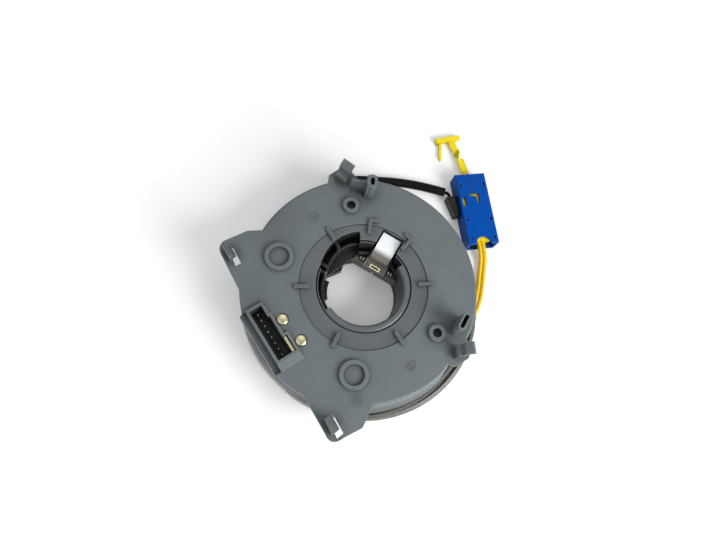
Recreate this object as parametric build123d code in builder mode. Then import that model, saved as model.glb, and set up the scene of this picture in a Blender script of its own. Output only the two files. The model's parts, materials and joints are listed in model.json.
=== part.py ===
"""Steering clock spring: a stator that clips to the column, a rotor that turns with the wheel,
the flat cable coiled between them, and the rotor's two leads with their connectors.

Frame: origin on the steering axis, in the rotor's lower face. +Z runs up through the stator's
face, +X points away from the stator's socket. Millimetres.
"""
import os
from math import cos, pi, radians, sin, sqrt, tan

from build123d import *

os.makedirs("parts", exist_ok=True)

# ---------------------------------------------------------------- heights of the stack
face_height = 26.0       # rotor's lower face to the stator's face
plate = 2.6              # stator face plate
rotor_floor = 3.0        # rotor disc plate
skirt_height = 11.6      # top of the rotor's skirt
axial_gap = 0.4          # stator rim over rotor skirt, and chamber wall over rotor floor

# ---------------------------------------------------------------- radii of the round parts
shaft_radius = 19.8      # bore for the steering shaft
hub_radius = 24.2        # outside of the hub tube
ring_radius = 32.7       # retainer ring, which turns in the stator's face
bearing_gap = 0.1        # radial running clearance of that ring
chamber_radius = 43.6    # inside of the cable chamber
chamber_wall = 1.2
shell_top_radius = 58.3  # stator shell at the face, before its edge is rounded
shell_foot_radius = 60.0 # stator shell at its lower rim
shell_wall = 2.0
edge_round = 1.5
rim_lip = 0.7            # bead round the shell's lower rim
rim_lip_height = 1.6
skirt_top_radius = 61.6
skirt_foot_radius = 64.5
skirt_wall = 2.2
skirt_round = 2.2
fit_gap = 0.1            # pieces that are seated in one another
soft_gap = 0.3           # pieces that only lie side by side

# ---------------------------------------------------------------- ears and snap hooks
ear_start_angle = 118.5  # where the ear's outline leaves the round face
ear_shoulder = (-36.6, 55.2)
ear_reach_x = -53.6
ear_corner_round = 6.0
crown_radius = 61.3      # face between the two ears, over the socket
hook_x = -50.6
hook_y = 47.3
hook_width = 7.4
hook_height = 8.5
hook_wall = 1.5
barb = 2.3
barb_height = 4.0
slot_width = 3.4         # window in the ear, under the barb
slot_length = 9.6
slot_shift = -1.6        # windows sit off the hook's middle, both towards -Y

# ---------------------------------------------------------------- bosses on the face
big_boss_radius = 44.7
big_boss_angle = 129.8
big_boss_outer = 7.1
big_boss_inner = 5.2
big_boss_height = 1.7
pin_boss_radius = 43.0
pin_boss_angle = 66.2
pin_boss_outer = 4.2
pin_hole = 2.4
pin_boss_height = 2.0
pin_hole_depth = 4.0
dial_radius = 3.4        # faint moulded discs on the face
dial_places = ((-2.8, 44.6), (-2.8, -44.6))
dial_sink = 0.15

# ---------------------------------------------------------------- socket
socket_out = -55.2       # inner faces of the socket, outer side first
socket_in = -48.6
pocket_in = -47.7
bar_pocket_in = -45.5
socket_y0 = -9.7
socket_y1 = 17.6
pocket_y = 11.0
bar_pocket_y = -1.0
socket_wall = 1.3
socket_rim = 1.2         # rim above the face
socket_floor = 13.9      # height of the cavity's floor
socket_base = 12.6       # underside of the socket block
ledge_out = -59.8        # stepped outer side of the block
ledge_top = 22.9
ramp_end = -14.8         # foot of the sloping end block
header_height = 2.2
pin_count = 8
pin_pitch = 3.25
pin_side = 0.7
pin_x = -51.8
pin_rise = 5.6           # pin length above the header
bar_sheet = 0.5
bar_width = 8.0
bar_depth = 1.8
stud_radius = 2.9
stud_shank = 1.5
stud_head = 0.9
stud_places = ((-43.4, 6.5), (-41.2, -6.9))

# ---------------------------------------------------------------- cable clips at the far side
lug_points = ((12.3, 54.0), (16.8, 59.9), (24.4, 60.4), (28.0, 57.6), (30.2, 45.0), (16.0, 45.0))
clip_base = (20.6, 54.2)
clip_angle = 22.0        # direction in which the clip's profile leans
clip_width = 6.8
clip_sheet = 1.6
clip_height = 13.0
fork_angle = 54.0
fork_start = 47.6
fork_length = 6.4
fork_gap = 2.2
fork_prong = 1.3
fork_height = 13.5
fork_wall_height = 11.0
tower_place = (28.0, -42.0)
tower_angle = 28.0
tower_slot = (7.4, 2.0)
tower_wall = 1.3
tower_height = 14.0

# ---------------------------------------------------------------- retainer ring and its tabs
ring_recess = 0.5        # ring's face below the stator's face
ring_sheet = 2.4
tab_angles = (90.0, 150.0, 210.0, 270.0, 330.0)
tab_in = 27.6
tab_out = 35.0
tab_width = 1.7
tab_height = 1.2
frame_angles = (12.3, 51.5)  # the two angled tabs that frame the cable window
frame_arm = 4.6
window_angle = 27.5
window_width = 12.2
window_out = 32.0
open_arc = (57.0, 101.0)     # stretch where the ring's bore is wider
open_arc_radius = 28.9

# ---------------------------------------------------------------- hub
hub_top = 25.6
hub_bore = 20.0          # a little wider than the disc's bore, which guides the shaft
hub_wall = 1.4
hub_flange = 2.0         # shoulder that the retainer ring sits on
hub_flange_sheet = 1.6
lip_from = -179.0        # stretch of the hub that ends in a thick rounded lip
lip_to = -3.0
lip_round = 1.8
collar_wall = 1.1        # thin collar on the rest of the hub
channel_floor = 13.0
inner_wall = 1.2
inner_wall_top = 17.0
web_angles = (101.0, 122.0, 141.0, 162.0)
web_width = 1.3
wedge_angle = 97.0
web_foot = 20.5
wedge_reach = 15.7       # how far the wedge lug stands into the bore, from the axis
wedge_width = 3.4
wedge_drop = 7.0
open_collar_drop = 3.4   # the hub's collar is lower where the ring's bore is wider
seat_height = 5.0        # collar on the rotor floor that the hub sits over
foot_ring = 27.0         # the underside stands on this ring and on the skirt's foot
foot_recess = 0.6

# ---------------------------------------------------------------- contact carrier
chord = 14.5             # flat of the carrier, from the axis
carrier_floor = 4.0
carrier_top = 12.5
bridge_width = 12.4
bridge_in = 12.6
bridge_top = 15.6
carrier_notch = 0.8
carrier_slot = (7.2, 1.2)
carrier_slot_place = 14.0
slot_frame = 0.7
slot_frame_height = 0.5
contact_blade = (0.6, 1.6, 4.0)
contact_places = (-9.1, -7.6, 7.6, 9.1)
contact_radius = 16.2
contact_rise = 1.4

# ---------------------------------------------------------------- flat cable
ribbon_sheet = 0.3
ribbon_width = 10.2
coil_width = 14.0
coil_turns = 4
coil_in = 30.0
coil_out = 42.6
slip_sheet = 0.4

# ---------------------------------------------------------------- leads (routes hand-chosen)
sleeve_radius = 2.5
wire_radius = 1.15
thin_radius = 0.5
thin_rise = 0.8          # the two thin wires lie over and under this middle height
thin_height = 3.2
thin_route = ((77.53, 26.06), (78.47, 25.08), (78.96, 23.81), (78.91, 22.45), (78.34, 21.22))
outlet_length = 5.6
outlet_height = 6.7
outlet_out = 3.1         # block beyond the lead's middle, away from the axis
outlet_in = 5.5
grommet_length = 5.0
grommet_wall = 0.7
sleeve_route = ((28.0, 61.8, 3.4), (34.0, 59.5, 3.4), (39.8, 56.5, 3.0), (46.4, 52.4, 2.6),
                (54.6, 47.0, 2.6), (63.3, 40.4, 2.6), (71.6, 32.25, 3.2), (77.53, 26.06, 3.2))
wire_spread = 1.2        # each of the two wires lies this far beside their middle route
wire_route = ((42.5, -43.9, 5.1), (49.0, -40.9, 5.1), (55.9, -36.3, 4.6), (62.7, -30.4, 2.6),
              (68.0, -24.9, 1.6), (72.6, -19.6, 3.0))
wire_entry = (5.5, 5.0)  # straight last run into the plug, and its height
pocket_width = 8.0       # pocket in the skirt that the wires leave through
pocket_length = 22.0
pocket_top = 9.0

# ---------------------------------------------------------------- connector at the lead's end
lock_end = (75.9, -12.4)     # middle of the sleeve's wire end, on the standing face
lock_angle = 65.0
lock_length = 43.0
lock_width = 18.0
lock_height = 10.0
lock_wall = 1.3
lock_play = 0.25         # plug inside its sliding lock sleeve
notch_radius = 4.4
plug_start = 3.0
plug_end = 40.0
latch_hole = (1.8, 1.2)
latch_places = ((36.0, 7.0), (14.5, 7.0), (3.4, 6.8))
side_window = (5.6, 2.0)
side_window_place = (26.0, 6.4)
bent_window = ((30.8, 2.6), (30.8, -2.9), (24.8, -2.9), (24.8, -1.2), (29.0, -1.2), (29.0, 2.6))
side_plug_outline = ((31.5, 9.4), (31.5, 14.8), (19.5, 12.2), (19.5, 9.4))
side_plug_height = 6.5
key_bar = (3.0, 14.4, 4.2)
key_bar_place = (68.4, 8.0)
key_bar_lean = 10.5
key_leg = (11.0, 1.7, 2.0)
key_leg_foot = 66.9
key_leg_side = 13.4
strap_width = 3.4
strap_sheet = 1.2
strap_path = ((40.0, 0.3, 5.0), (46.0, 0.4, 4.6), (50.5, 1.3, 3.7), (55.0, 2.6, 2.9), (59.5, 3.6, 2.5),
              (67.5, 4.6, 2.1))
strap_twist = 180.0
strap_twist_from = 0.25    # stretch of the strap in which it twists, as shares of its length
strap_twist_to = 0.7
strap_steps = 14


def polar(radius, angle, height=0.0):
    """Point at a radius and an angle in degrees round the steering axis."""
    return (radius * cos(radians(angle)), radius * sin(radians(angle)), height)


def radial_plane(angle, height=0.0, radius=0.0):
    """Level plane whose x axis points outwards at an angle."""
    return Plane(origin=polar(radius, angle, height), x_dir=polar(1, angle), z_dir=(0, 0, 1))


def sector(radius, start, end):
    """Closed wedge outline from the axis, start and end in degrees, made inside a sketch."""
    with BuildLine() as wedge:
        rim = CenterArc((0, 0), radius, start, end - start)
        Line((0, 0), rim @ 0)
        Line(rim @ 1, (0, 0))
    make_face(wedge.edges())


def finish(part, label):
    """Name a finished piece and write its file."""
    part.label = label
    export_step(part, f"parts/{label}.step")


def at_lock(along, across, height):
    """Point given in the lock sleeve's own directions."""
    lean = radians(lock_angle)
    return (lock_end[0] + along * cos(lean) - across * sin(lean),
            lock_end[1] + along * sin(lean) + across * cos(lean), height)


def beside(route, shift):
    """Route moved sideways in plan, its corners mitred."""
    plan = [Vector(x, y) for x, y, height in route]
    runs = [(after - before).normalized() for before, after in zip(plan, plan[1:])]
    moved = []
    for point, run_in, run_out in zip(route, [runs[0], *runs], [*runs, runs[-1]]):
        mitre = (run_in + run_out).normalized()
        reach = shift / mitre.dot(run_in)
        moved.append((point[0] + mitre.Y * reach, point[1] - mitre.X * reach, point[2]))
    return moved


def turn_radii(points, smallest):
    """Bend radius at each inner point of a route: 0.45 of the shorter run over tan(half turn)."""
    radii = []
    for before, here, after in zip(points, points[1:], points[2:]):
        run_in = Vector(*here) - Vector(*before)
        run_out = Vector(*after) - Vector(*here)
        half_turn = radians(run_in.get_angle(run_out)) / 2
        radii.append(0.45 * min(run_in.length, run_out.length) / max(tan(half_turn), 1e-3))
    print("bend radii", [round(r, 1) for r in radii], "smallest allowed", smallest)
    return radii


def lead(points, radius, label, smallest):
    """Round lead along a route: straight runs joined by tangent arcs."""
    radii = turn_radii(points, smallest)
    with BuildPart() as tube:
        with BuildLine():
            route = FilletPolyline(*points, radius=radii)
        with BuildSketch(Plane(origin=route @ 0, z_dir=route % 0)):
            Circle(radius)
        sweep()
    print(label, "length", round(route.length, 1),
          "volume over section", round(tube.part.volume / (pi * radius ** 2), 1))
    finish(tube.part, label)


# ================================================================ stator housing
rim_height = skirt_height + axial_gap
opening_radius = ring_radius + bearing_gap
plate_under = face_height - plate
chamber_foot = rotor_floor + slip_sheet + axial_gap
cavity_points = (
    (socket_out, socket_y0), (bar_pocket_in, socket_y0), (bar_pocket_in, bar_pocket_y),
    (pocket_in, bar_pocket_y), (pocket_in, pocket_y), (socket_in, pocket_y),
    (socket_in, socket_y1), (socket_out, socket_y1),
)


def ear_outline():
    """One ear on the +Y side, reaching in under the round face."""
    start = polar(shell_top_radius - edge_round, ear_start_angle)
    inner = polar(chamber_radius, big_boss_angle)
    crown_y = sqrt(crown_radius ** 2 - ear_reach_x ** 2)
    with BuildLine() as edge:
        Polyline(
            start[:2], ear_shoulder, (ear_reach_x, ear_shoulder[1]), (ear_reach_x, crown_y),
            (-chamber_radius, 0.5 * crown_y), inner[:2], close=True,
        )
    make_face(edge.edges())


def snap_hook(y):
    """Standing hook with its barb over the ear's window, extruded along Y."""
    top = face_height + hook_height
    outer = hook_x - hook_wall / 2
    inner = hook_x + hook_wall / 2
    with BuildSketch(Plane.XZ.offset(-y)) as profile:
        with BuildLine():
            Polyline(
                (outer, plate_under), (outer, top), (inner, top), (inner + barb, top - barb_height),
                (inner, top - barb_height - 0.5 * barb), (inner, plate_under), close=True,
            )
        make_face()
    extrude(profile.sketch, amount=hook_width / 2, both=True)


def cable_clip(side):
    """Sprung S-shaped clip, on the +Y side for 1 and the -Y side for -1."""
    lean = radians(side * clip_angle)
    seen_from_side = Plane(
        origin=(clip_base[0], side * clip_base[1], face_height),
        x_dir=(cos(lean), sin(lean), 0), z_dir=(sin(lean), -cos(lean), 0),
    )
    h = clip_height
    with BuildSketch(seen_from_side) as profile:
        with BuildLine():
            FilletPolyline(
                (0, -0.5 * plate), (0, 0.42 * h), (0.21 * h, 0.52 * h), (0.23 * h, 0.8 * h),
                (0.46 * h, h), radius=0.09 * h,
            )
        trace(line_width=clip_sheet)
    extrude(profile.sketch, amount=clip_width / 2, both=True)


with BuildPart() as stator_housing:
    # turned shell: face plate, drafted wall and the bead round its rim
    with BuildSketch(Plane.XZ) as shell:
        with BuildLine():
            Polyline(
                (opening_radius, plate_under), (opening_radius, face_height), (shell_top_radius, face_height),
                (shell_foot_radius, rim_height + rim_lip_height),
                (shell_foot_radius + rim_lip, rim_height + 0.7 * rim_lip_height),
                (shell_foot_radius + rim_lip, rim_height), (shell_foot_radius - shell_wall, rim_height),
                (shell_top_radius - shell_wall, plate_under), close=True,
            )
        make_face()
        fillet(shell.vertices().sort_by_distance((shell_top_radius, face_height))[0], edge_round)
    revolve(axis=Axis.Z)
    # chamber wall that the flat cable winds against
    with BuildSketch(Plane.XY.offset(chamber_foot)):
        Circle(chamber_radius + chamber_wall)
        Circle(chamber_radius, mode=Mode.SUBTRACT)
    extrude(amount=plate_under - chamber_foot)
    # ears, crown over the socket and clip lugs, one plate with the face
    with BuildSketch(Plane.XY.offset(plate_under)) as outline:
        ear_outline()
        with BuildLine():
            Polyline(*lug_points, close=True)
        make_face()
        mirror(about=Plane.XZ)
        sector(crown_radius, 149, 211)
        Circle(chamber_radius, mode=Mode.SUBTRACT)
        tips = outline.vertices().filter_by(lambda v: abs(v.X - ear_reach_x) < 0.1 and abs(v.Y) > 50)
        fillet(tips, ear_corner_round)
        fillet(outline.vertices().filter_by(lambda v: abs(v.X - ear_shoulder[0]) < 0.1), 2.5)
        fillet(outline.vertices().filter_by(lambda v: abs(v.Y) > 57 and v.X > 0), 1.6)
    extrude(amount=plate)
    # socket block under the face, its rim above it, and the sloping block at its end
    with BuildSketch(Plane.XY.offset(socket_base)):
        with BuildLine():
            Polyline(
                (ledge_out, ramp_end), (-chamber_radius - 0.6, ramp_end),
                (-chamber_radius - 0.6, socket_y1 + socket_wall), (ledge_out, socket_y1 + socket_wall),
                close=True,
            )
        make_face()
    extrude(amount=ledge_top - socket_base)
    with BuildSketch(Plane.XY.offset(ledge_top - 1)):
        with BuildLine():
            Polyline(*cavity_points, close=True)
        make_face()
        offset(amount=socket_wall, kind=Kind.INTERSECTION)
    extrude(amount=face_height + socket_rim - ledge_top + 1)
    with BuildSketch(Plane.YZ.offset(socket_out - socket_wall)):
        with BuildLine():
            Polyline(
                (socket_y0 - socket_wall, plate_under), (socket_y0 - socket_wall, face_height + socket_rim),
                (ramp_end, face_height + 0.2), (ramp_end, plate_under), close=True,
            )
        make_face()
    extrude(amount=bar_pocket_in - socket_out + 2 * socket_wall)
    with BuildSketch(Plane.XY.offset(ledge_top)):
        with BuildLine():
            Polyline(
                (-70, ramp_end), (socket_out - socket_wall, ramp_end),
                (socket_out - socket_wall, socket_y1 + socket_wall), (-70, socket_y1 + socket_wall),
                close=True,
            )
        make_face()
    extrude(amount=2 * plate, mode=Mode.SUBTRACT)
    with BuildSketch(Plane.XY.offset(socket_floor)):
        with BuildLine():
            Polyline(*cavity_points, close=True)
        make_face()
    extrude(amount=face_height, mode=Mode.SUBTRACT)
    # ring bosses, and the blind holes of the small ones
    for side in (1, -1):
        big_top = face_height + big_boss_height
        with Locations(polar(big_boss_radius, side * big_boss_angle, big_top)):
            Cylinder(big_boss_outer, 2 * big_boss_height, align=(Align.CENTER, Align.CENTER, Align.MAX))
            Hole(big_boss_inner, big_boss_height)
        pin_top = face_height + pin_boss_height
        with Locations(polar(pin_boss_radius, side * pin_boss_angle, pin_top)):
            Cylinder(pin_boss_outer, 2 * pin_boss_height, align=(Align.CENTER, Align.CENTER, Align.MAX))
            Hole(pin_hole, pin_hole_depth)
    # windows in the ears, then the hooks over them
    for side in (1, -1):
        window_x = hook_x + (hook_wall + slot_width) / 2
        with Locations((window_x, side * hook_y + slot_shift, face_height)):
            Box(slot_width, slot_length, 3 * plate, mode=Mode.SUBTRACT)
        snap_hook(side * hook_y)
        cable_clip(side)
    # forked post and its wall on the +Y side
    for offset_side in (-1, 1):
        shift = offset_side * (fork_gap + fork_prong) / 2
        with BuildSketch(radial_plane(fork_angle, face_height - 0.5 * plate)):
            with Locations((fork_start + fork_length / 2, shift)):
                Rectangle(fork_length, fork_prong)
        extrude(amount=fork_height + 0.5 * plate)
    with BuildSketch(Plane.XY.offset(face_height - 0.5 * plate)):
        with BuildLine():
            Line(polar(fork_start + 3.2, fork_angle)[:2], (clip_base[0] + 2.2, clip_base[1] - 5.6))
        trace(line_width=fork_prong)
    extrude(amount=fork_wall_height + 0.5 * plate)
    # slotted post on the -Y side
    tower = Plane(origin=(*tower_place, face_height), x_dir=polar(1, tower_angle), z_dir=(0, 0, 1))
    with BuildSketch(tower.offset(-0.5 * plate)):
        SlotOverall(tower_slot[0] + 2 * tower_wall, tower_slot[1] + 2 * tower_wall)
    extrude(amount=tower_height + 0.5 * plate, taper=1.5)
    with BuildSketch(tower.offset(tower_height)):
        SlotOverall(*tower_slot)
    extrude(amount=-0.75 * tower_height, mode=Mode.SUBTRACT)
    # seats of the two studs and the faint moulded discs
    for x, y in stud_places:
        with Locations((x, y, face_height)):
            CounterBoreHole(stud_shank + fit_gap, stud_radius + 2 * fit_gap, stud_head, plate)
    for x, y in dial_places:
        with Locations((x, y, face_height)):
            Cylinder(dial_radius, 2 * dial_sink, mode=Mode.SUBTRACT)

finish(stator_housing.part, "stator_housing")

# ================================================================ pieces in the socket
header_top = socket_floor + header_height
with BuildPart() as pin_header:
    with BuildSketch(Plane.XY.offset(socket_floor)):
        with BuildLine():
            Polyline(
                (socket_out, socket_y0), (pocket_in, socket_y0), (pocket_in, pocket_y),
                (socket_in, pocket_y), (socket_in, socket_y1), (socket_out, socket_y1), close=True,
            )
        make_face()
        offset(amount=-fit_gap, kind=Kind.INTERSECTION)
    extrude(amount=header_height)
    with Locations((pin_x, (socket_y0 + socket_y1) / 2, header_top)):
        with GridLocations(1, pin_pitch, 1, pin_count):
            Box(2.2, 1.6, 1.2)
            Box(pin_side, pin_side, 3 * header_height, mode=Mode.SUBTRACT)
finish(pin_header.part, "pin_header")

with BuildPart() as socket_pins:
    pin_length = header_height + pin_rise
    with Locations((pin_x, (socket_y0 + socket_y1) / 2, socket_floor + pin_length / 2)):
        with GridLocations(1, pin_pitch, 1, pin_count):
            Box(pin_side, pin_side, pin_length)
    chamfer(socket_pins.faces().group_by(Axis.Z)[-1].edges(), 0.2 * pin_side)
finish(socket_pins.part, "socket_pins")

with BuildPart() as shorting_bar:
    bar_y = (socket_y0 + bar_pocket_y) / 2
    bar_top = face_height - 0.3
    bar_x = (pocket_in + bar_pocket_in) / 2 + fit_gap
    with BuildSketch(Plane.XZ.offset(-bar_y)):
        with BuildLine():
            FilletPolyline(
                (bar_x - 0.5 * bar_depth, header_top + 1.0), (bar_x - 0.5 * bar_depth, bar_top),
                (bar_x + 0.4 * bar_depth, bar_top), (bar_x + 0.4 * bar_depth, socket_floor + 0.1),
                radius=0.4 * bar_depth,
            )
        trace(line_width=bar_sheet)
    extrude(amount=bar_width / 2, both=True)
finish(shorting_bar.part, "shorting_bar")

with BuildPart() as contact_studs:
    for x, y in stud_places:
        with Locations((x, y, face_height - stud_head)):
            Cylinder(stud_radius, stud_head, align=(Align.CENTER, Align.CENTER, Align.MIN))
            Cylinder(stud_shank, plate - stud_head, align=(Align.CENTER, Align.CENTER, Align.MAX))
    fillet(contact_studs.faces().filter_by(Axis.Z).group_by(Axis.Z)[-1].edges(), 0.5 * stud_head)
finish(contact_studs.part, "contact_studs")

# ================================================================ flat cable
with BuildPart() as ribbon_coil:
    coil_foot = chamber_foot + soft_gap
    step = (coil_out - coil_in) / coil_turns
    with BuildSketch(Plane.XY.offset(coil_foot)):
        with BuildLine():
            for turn in range(2 * coil_turns):
                # half turns on two centres, so that the radius grows by one step a turn
                radius = coil_in + step * (turn + 0.5) / 2
                middle = step / 4 * (1 if turn % 2 == 0 else -1)
                CenterArc((middle, 0), radius, 180 * (turn % 2), 180)
        trace(line_width=ribbon_sheet)
    extrude(amount=coil_width)
finish(ribbon_coil.part, "ribbon_coil")

ring_under = face_height - ring_recess - ring_sheet
with BuildPart() as ribbon_tail:
    out = window_out - 0.6
    over = ring_under + 0.5
    along_window = Plane(origin=(0, 0, 0), x_dir=polar(1, window_angle),
                         z_dir=polar(1, window_angle - 90))
    with BuildSketch(along_window):
        with BuildLine():
            FilletPolyline(
                (out, coil_foot + coil_width + soft_gap), (out, over), (23.6, over), (18.2, bridge_top + 2.4),
                (17.3, bridge_top + 0.2), radius=(0.8, 2.6, 1.0),
            )
        trace(line_width=ribbon_sheet)
    extrude(amount=ribbon_width / 2, both=True)
finish(ribbon_tail.part, "ribbon_tail")

with BuildPart() as slip_disc:
    with BuildSketch(Plane.XY.offset(rotor_floor)):
        Circle(chamber_radius - 1)
        Circle(hub_radius + hub_flange + 1, mode=Mode.SUBTRACT)
    extrude(amount=slip_sheet)
finish(slip_disc.part, "slip_disc")

# ================================================================ rotor
with BuildPart() as rotor_disc:
    with BuildSketch(Plane.XZ) as section:
        with BuildLine():
            Polyline(
                (shaft_radius, 0), (foot_ring, 0), (foot_ring + 1, foot_recess),
                (skirt_foot_radius - skirt_wall - 4, foot_recess), (skirt_foot_radius - skirt_wall - 3, 0),
                (skirt_foot_radius - 0.8, 0), (skirt_foot_radius, 0.8), (skirt_foot_radius, 2.4),
                (skirt_top_radius + 1.3, skirt_height - 1.8), (skirt_top_radius, skirt_height),
                (skirt_top_radius - skirt_wall, skirt_height),
                (skirt_foot_radius - skirt_wall - 1.2, rotor_floor), (shaft_radius, rotor_floor), close=True,
            )
        make_face()
        shoulder = (skirt_top_radius + 1.3, skirt_height - 1.8)
        fillet(section.vertices().sort_by_distance(shoulder)[0], skirt_round)
    revolve(axis=Axis.Z)
    with BuildSketch(Plane.XY.offset(rotor_floor)):
        Circle(hub_radius - hub_wall - fit_gap)
        Circle(hub_bore + hub_wall + fit_gap, mode=Mode.SUBTRACT)
    extrude(amount=seat_height)
    wire_run = Vector(*wire_route[1]) - Vector(*wire_route[0])
    pocket = Plane(origin=(*wire_route[0][:2], rotor_floor), x_dir=(wire_run.X, wire_run.Y, 0),
                   z_dir=(0, 0, 1))
    with BuildSketch(pocket):
        with Locations((pocket_length / 2, 0)):
            Rectangle(pocket_length, pocket_width)
    extrude(amount=pocket_top - rotor_floor, mode=Mode.SUBTRACT)
    for start, following in (sleeve_route[:2], wire_route[:2]):
        run = (Vector(*following) - Vector(*start)).normalized()
        inwards = Vector(-start[0], -start[1], 0).normalized()
        side = 1 if run.cross(inwards).Z > 0 else -1
        block = Plane(origin=(start[0], start[1], 0), x_dir=(run.X, run.Y, 0), z_dir=(0, 0, 1))
        with BuildSketch(block):
            with Locations((-outlet_length / 2, side * (outlet_in - outlet_out) / 2)):
                RectangleRounded(outlet_length, outlet_in + outlet_out, 1.0)
        extrude(amount=outlet_height)
finish(rotor_disc.part, "rotor_disc")

with BuildPart() as rotor_hub:
    with BuildSketch(Plane.XZ) as section:
        with BuildLine():
            Polyline(
                (hub_bore, rotor_floor), (hub_bore, hub_top), (hub_radius, hub_top),
                (hub_radius, ring_under), (hub_radius + hub_flange, ring_under),
                (hub_radius + hub_flange, ring_under - hub_flange_sheet),
                (hub_radius, ring_under - hub_flange_sheet), (hub_radius, rotor_floor),
                (hub_radius - hub_wall, rotor_floor), (hub_radius - hub_wall, channel_floor - hub_wall),
                (hub_bore + hub_wall, channel_floor - hub_wall), (hub_bore + hub_wall, rotor_floor),
                close=True,
            )
        make_face()
        fillet(section.vertices().group_by(Axis.Y)[-1], lip_round)
    revolve(axis=Axis.Z)
    # everywhere but at the lip only a thin collar and a low inner wall stand, with a channel between
    with BuildSketch(Plane.XY.offset(inner_wall_top)):
        sector(hub_radius - collar_wall, lip_to, lip_from + 360)
    extrude(amount=hub_top, mode=Mode.SUBTRACT)
    with BuildSketch(Plane.XY.offset(channel_floor)):
        sector(hub_radius - collar_wall, lip_to, lip_from + 360)
        Circle(hub_bore + inner_wall, mode=Mode.SUBTRACT)
    extrude(amount=hub_top, mode=Mode.SUBTRACT)
    for angle in web_angles:
        with BuildSketch(radial_plane(angle, channel_floor)):
            with Locations(((web_foot + hub_radius - 0.5) / 2, 0)):
                Rectangle(hub_radius - 0.5 - web_foot, web_width)
        extrude(amount=inner_wall_top + 1 - channel_floor)
    with BuildSketch(radial_plane(wedge_angle, inner_wall_top)):
        with BuildLine():
            Polyline(
                (wedge_reach, -0.3 * wedge_width), (hub_bore + 0.5, -0.5 * wedge_width),
                (hub_bore + 0.5, 0.5 * wedge_width), (wedge_reach, 0.3 * wedge_width), close=True,
            )
        make_face()
    extrude(amount=-wedge_drop)
    # low collar and no shoulder under the wider bore of the ring, then the way for the flat cable
    with BuildSketch(Plane.XY.offset(hub_top - open_collar_drop)):
        sector(hub_radius + hub_flange + 1, open_arc[0] - 2, open_arc[1] + 2)
    extrude(amount=hub_top, mode=Mode.SUBTRACT)
    with BuildSketch(radial_plane(window_angle, carrier_top)):
        with Locations((hub_radius, 0)):
            Rectangle(2 * (hub_radius - chord), bridge_width + 2 * soft_gap)
    extrude(amount=hub_top, mode=Mode.SUBTRACT)
finish(rotor_hub.part, "rotor_hub")

with BuildPart() as retainer_ring:
    ring_top = ring_under + ring_sheet
    lifted = face_height + soft_gap
    tab_top = face_height + tab_height
    with BuildSketch(Plane.XY.offset(ring_under)):
        Circle(ring_radius)
        Circle(hub_radius + fit_gap, mode=Mode.SUBTRACT)
        with Locations(polar(window_out / 2, window_angle)[:2]):
            Rectangle(window_out, window_width, rotation=window_angle, mode=Mode.SUBTRACT)
    extrude(amount=ring_sheet)
    with BuildSketch(Plane.XY.offset(ring_under)):
        sector(open_arc_radius, *open_arc)
    extrude(amount=ring_sheet, mode=Mode.SUBTRACT)
    for angle in (*tab_angles, *frame_angles):
        with BuildSketch(radial_plane(angle, ring_top)):
            with Locations(((tab_in + ring_radius) / 2, 0)):
                Rectangle(ring_radius - tab_in, tab_width)
        extrude(amount=tab_top - ring_top)
        with BuildSketch(radial_plane(angle, lifted)):
            with Locations(((tab_in + tab_out) / 2, 0)):
                Rectangle(tab_out - tab_in, tab_width)
        extrude(amount=tab_top - lifted)
    for angle in frame_angles:
        side = 1 if angle < window_angle else -1
        with BuildSketch(radial_plane(angle, lifted)):
            with Locations((tab_out, side * (frame_arm - tab_width / 2) / 2)):
                Rectangle(tab_width, frame_arm + tab_width / 2)
        extrude(amount=tab_top - lifted)
finish(retainer_ring.part, "retainer_ring")

with BuildPart() as contact_carrier:
    with BuildSketch(radial_plane(window_angle, carrier_floor)):
        Circle(hub_bore - fit_gap)
        with Locations((chord - hub_bore, 0)):
            Rectangle(2 * hub_bore, 3 * hub_bore, mode=Mode.SUBTRACT)
        with Locations((chord, 0)):
            Rectangle(2 * carrier_notch, 2 * carrier_notch, mode=Mode.SUBTRACT)
    extrude(amount=carrier_top - carrier_floor)
    bridge_out = hub_radius - hub_wall
    with BuildSketch(radial_plane(window_angle, carrier_top)):
        with Locations(((bridge_in + bridge_out) / 2, 0)):
            Rectangle(bridge_out - bridge_in, bridge_width)
    extrude(amount=bridge_top - carrier_top)
    frame_size = (carrier_slot[1] + 2 * slot_frame, carrier_slot[0] + 2 * slot_frame)
    with BuildSketch(radial_plane(window_angle, bridge_top)):
        with Locations((carrier_slot_place, 0)):
            Rectangle(*frame_size)
    extrude(amount=slot_frame_height)
    with BuildSketch(radial_plane(window_angle, bridge_top + slot_frame_height)):
        with Locations((carrier_slot_place, 0)):
            Rectangle(carrier_slot[1], carrier_slot[0])
    extrude(amount=-(bridge_top - carrier_top), mode=Mode.SUBTRACT)
    for place in contact_places:
        with BuildSketch(radial_plane(window_angle, carrier_top)):
            with Locations((contact_radius, place)):
                Rectangle(contact_blade[1] + 2 * fit_gap, contact_blade[0] + 2 * fit_gap)
        extrude(amount=-(contact_blade[2] - contact_rise), mode=Mode.SUBTRACT)
finish(contact_carrier.part, "contact_carrier")

with BuildPart() as carrier_contacts:
    for place in contact_places:
        with BuildSketch(radial_plane(window_angle, carrier_top + contact_rise)):
            with Locations((contact_radius, place)):
                Rectangle(contact_blade[1], contact_blade[0])
        extrude(amount=-contact_blade[2])
finish(carrier_contacts.part, "carrier_contacts")

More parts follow.
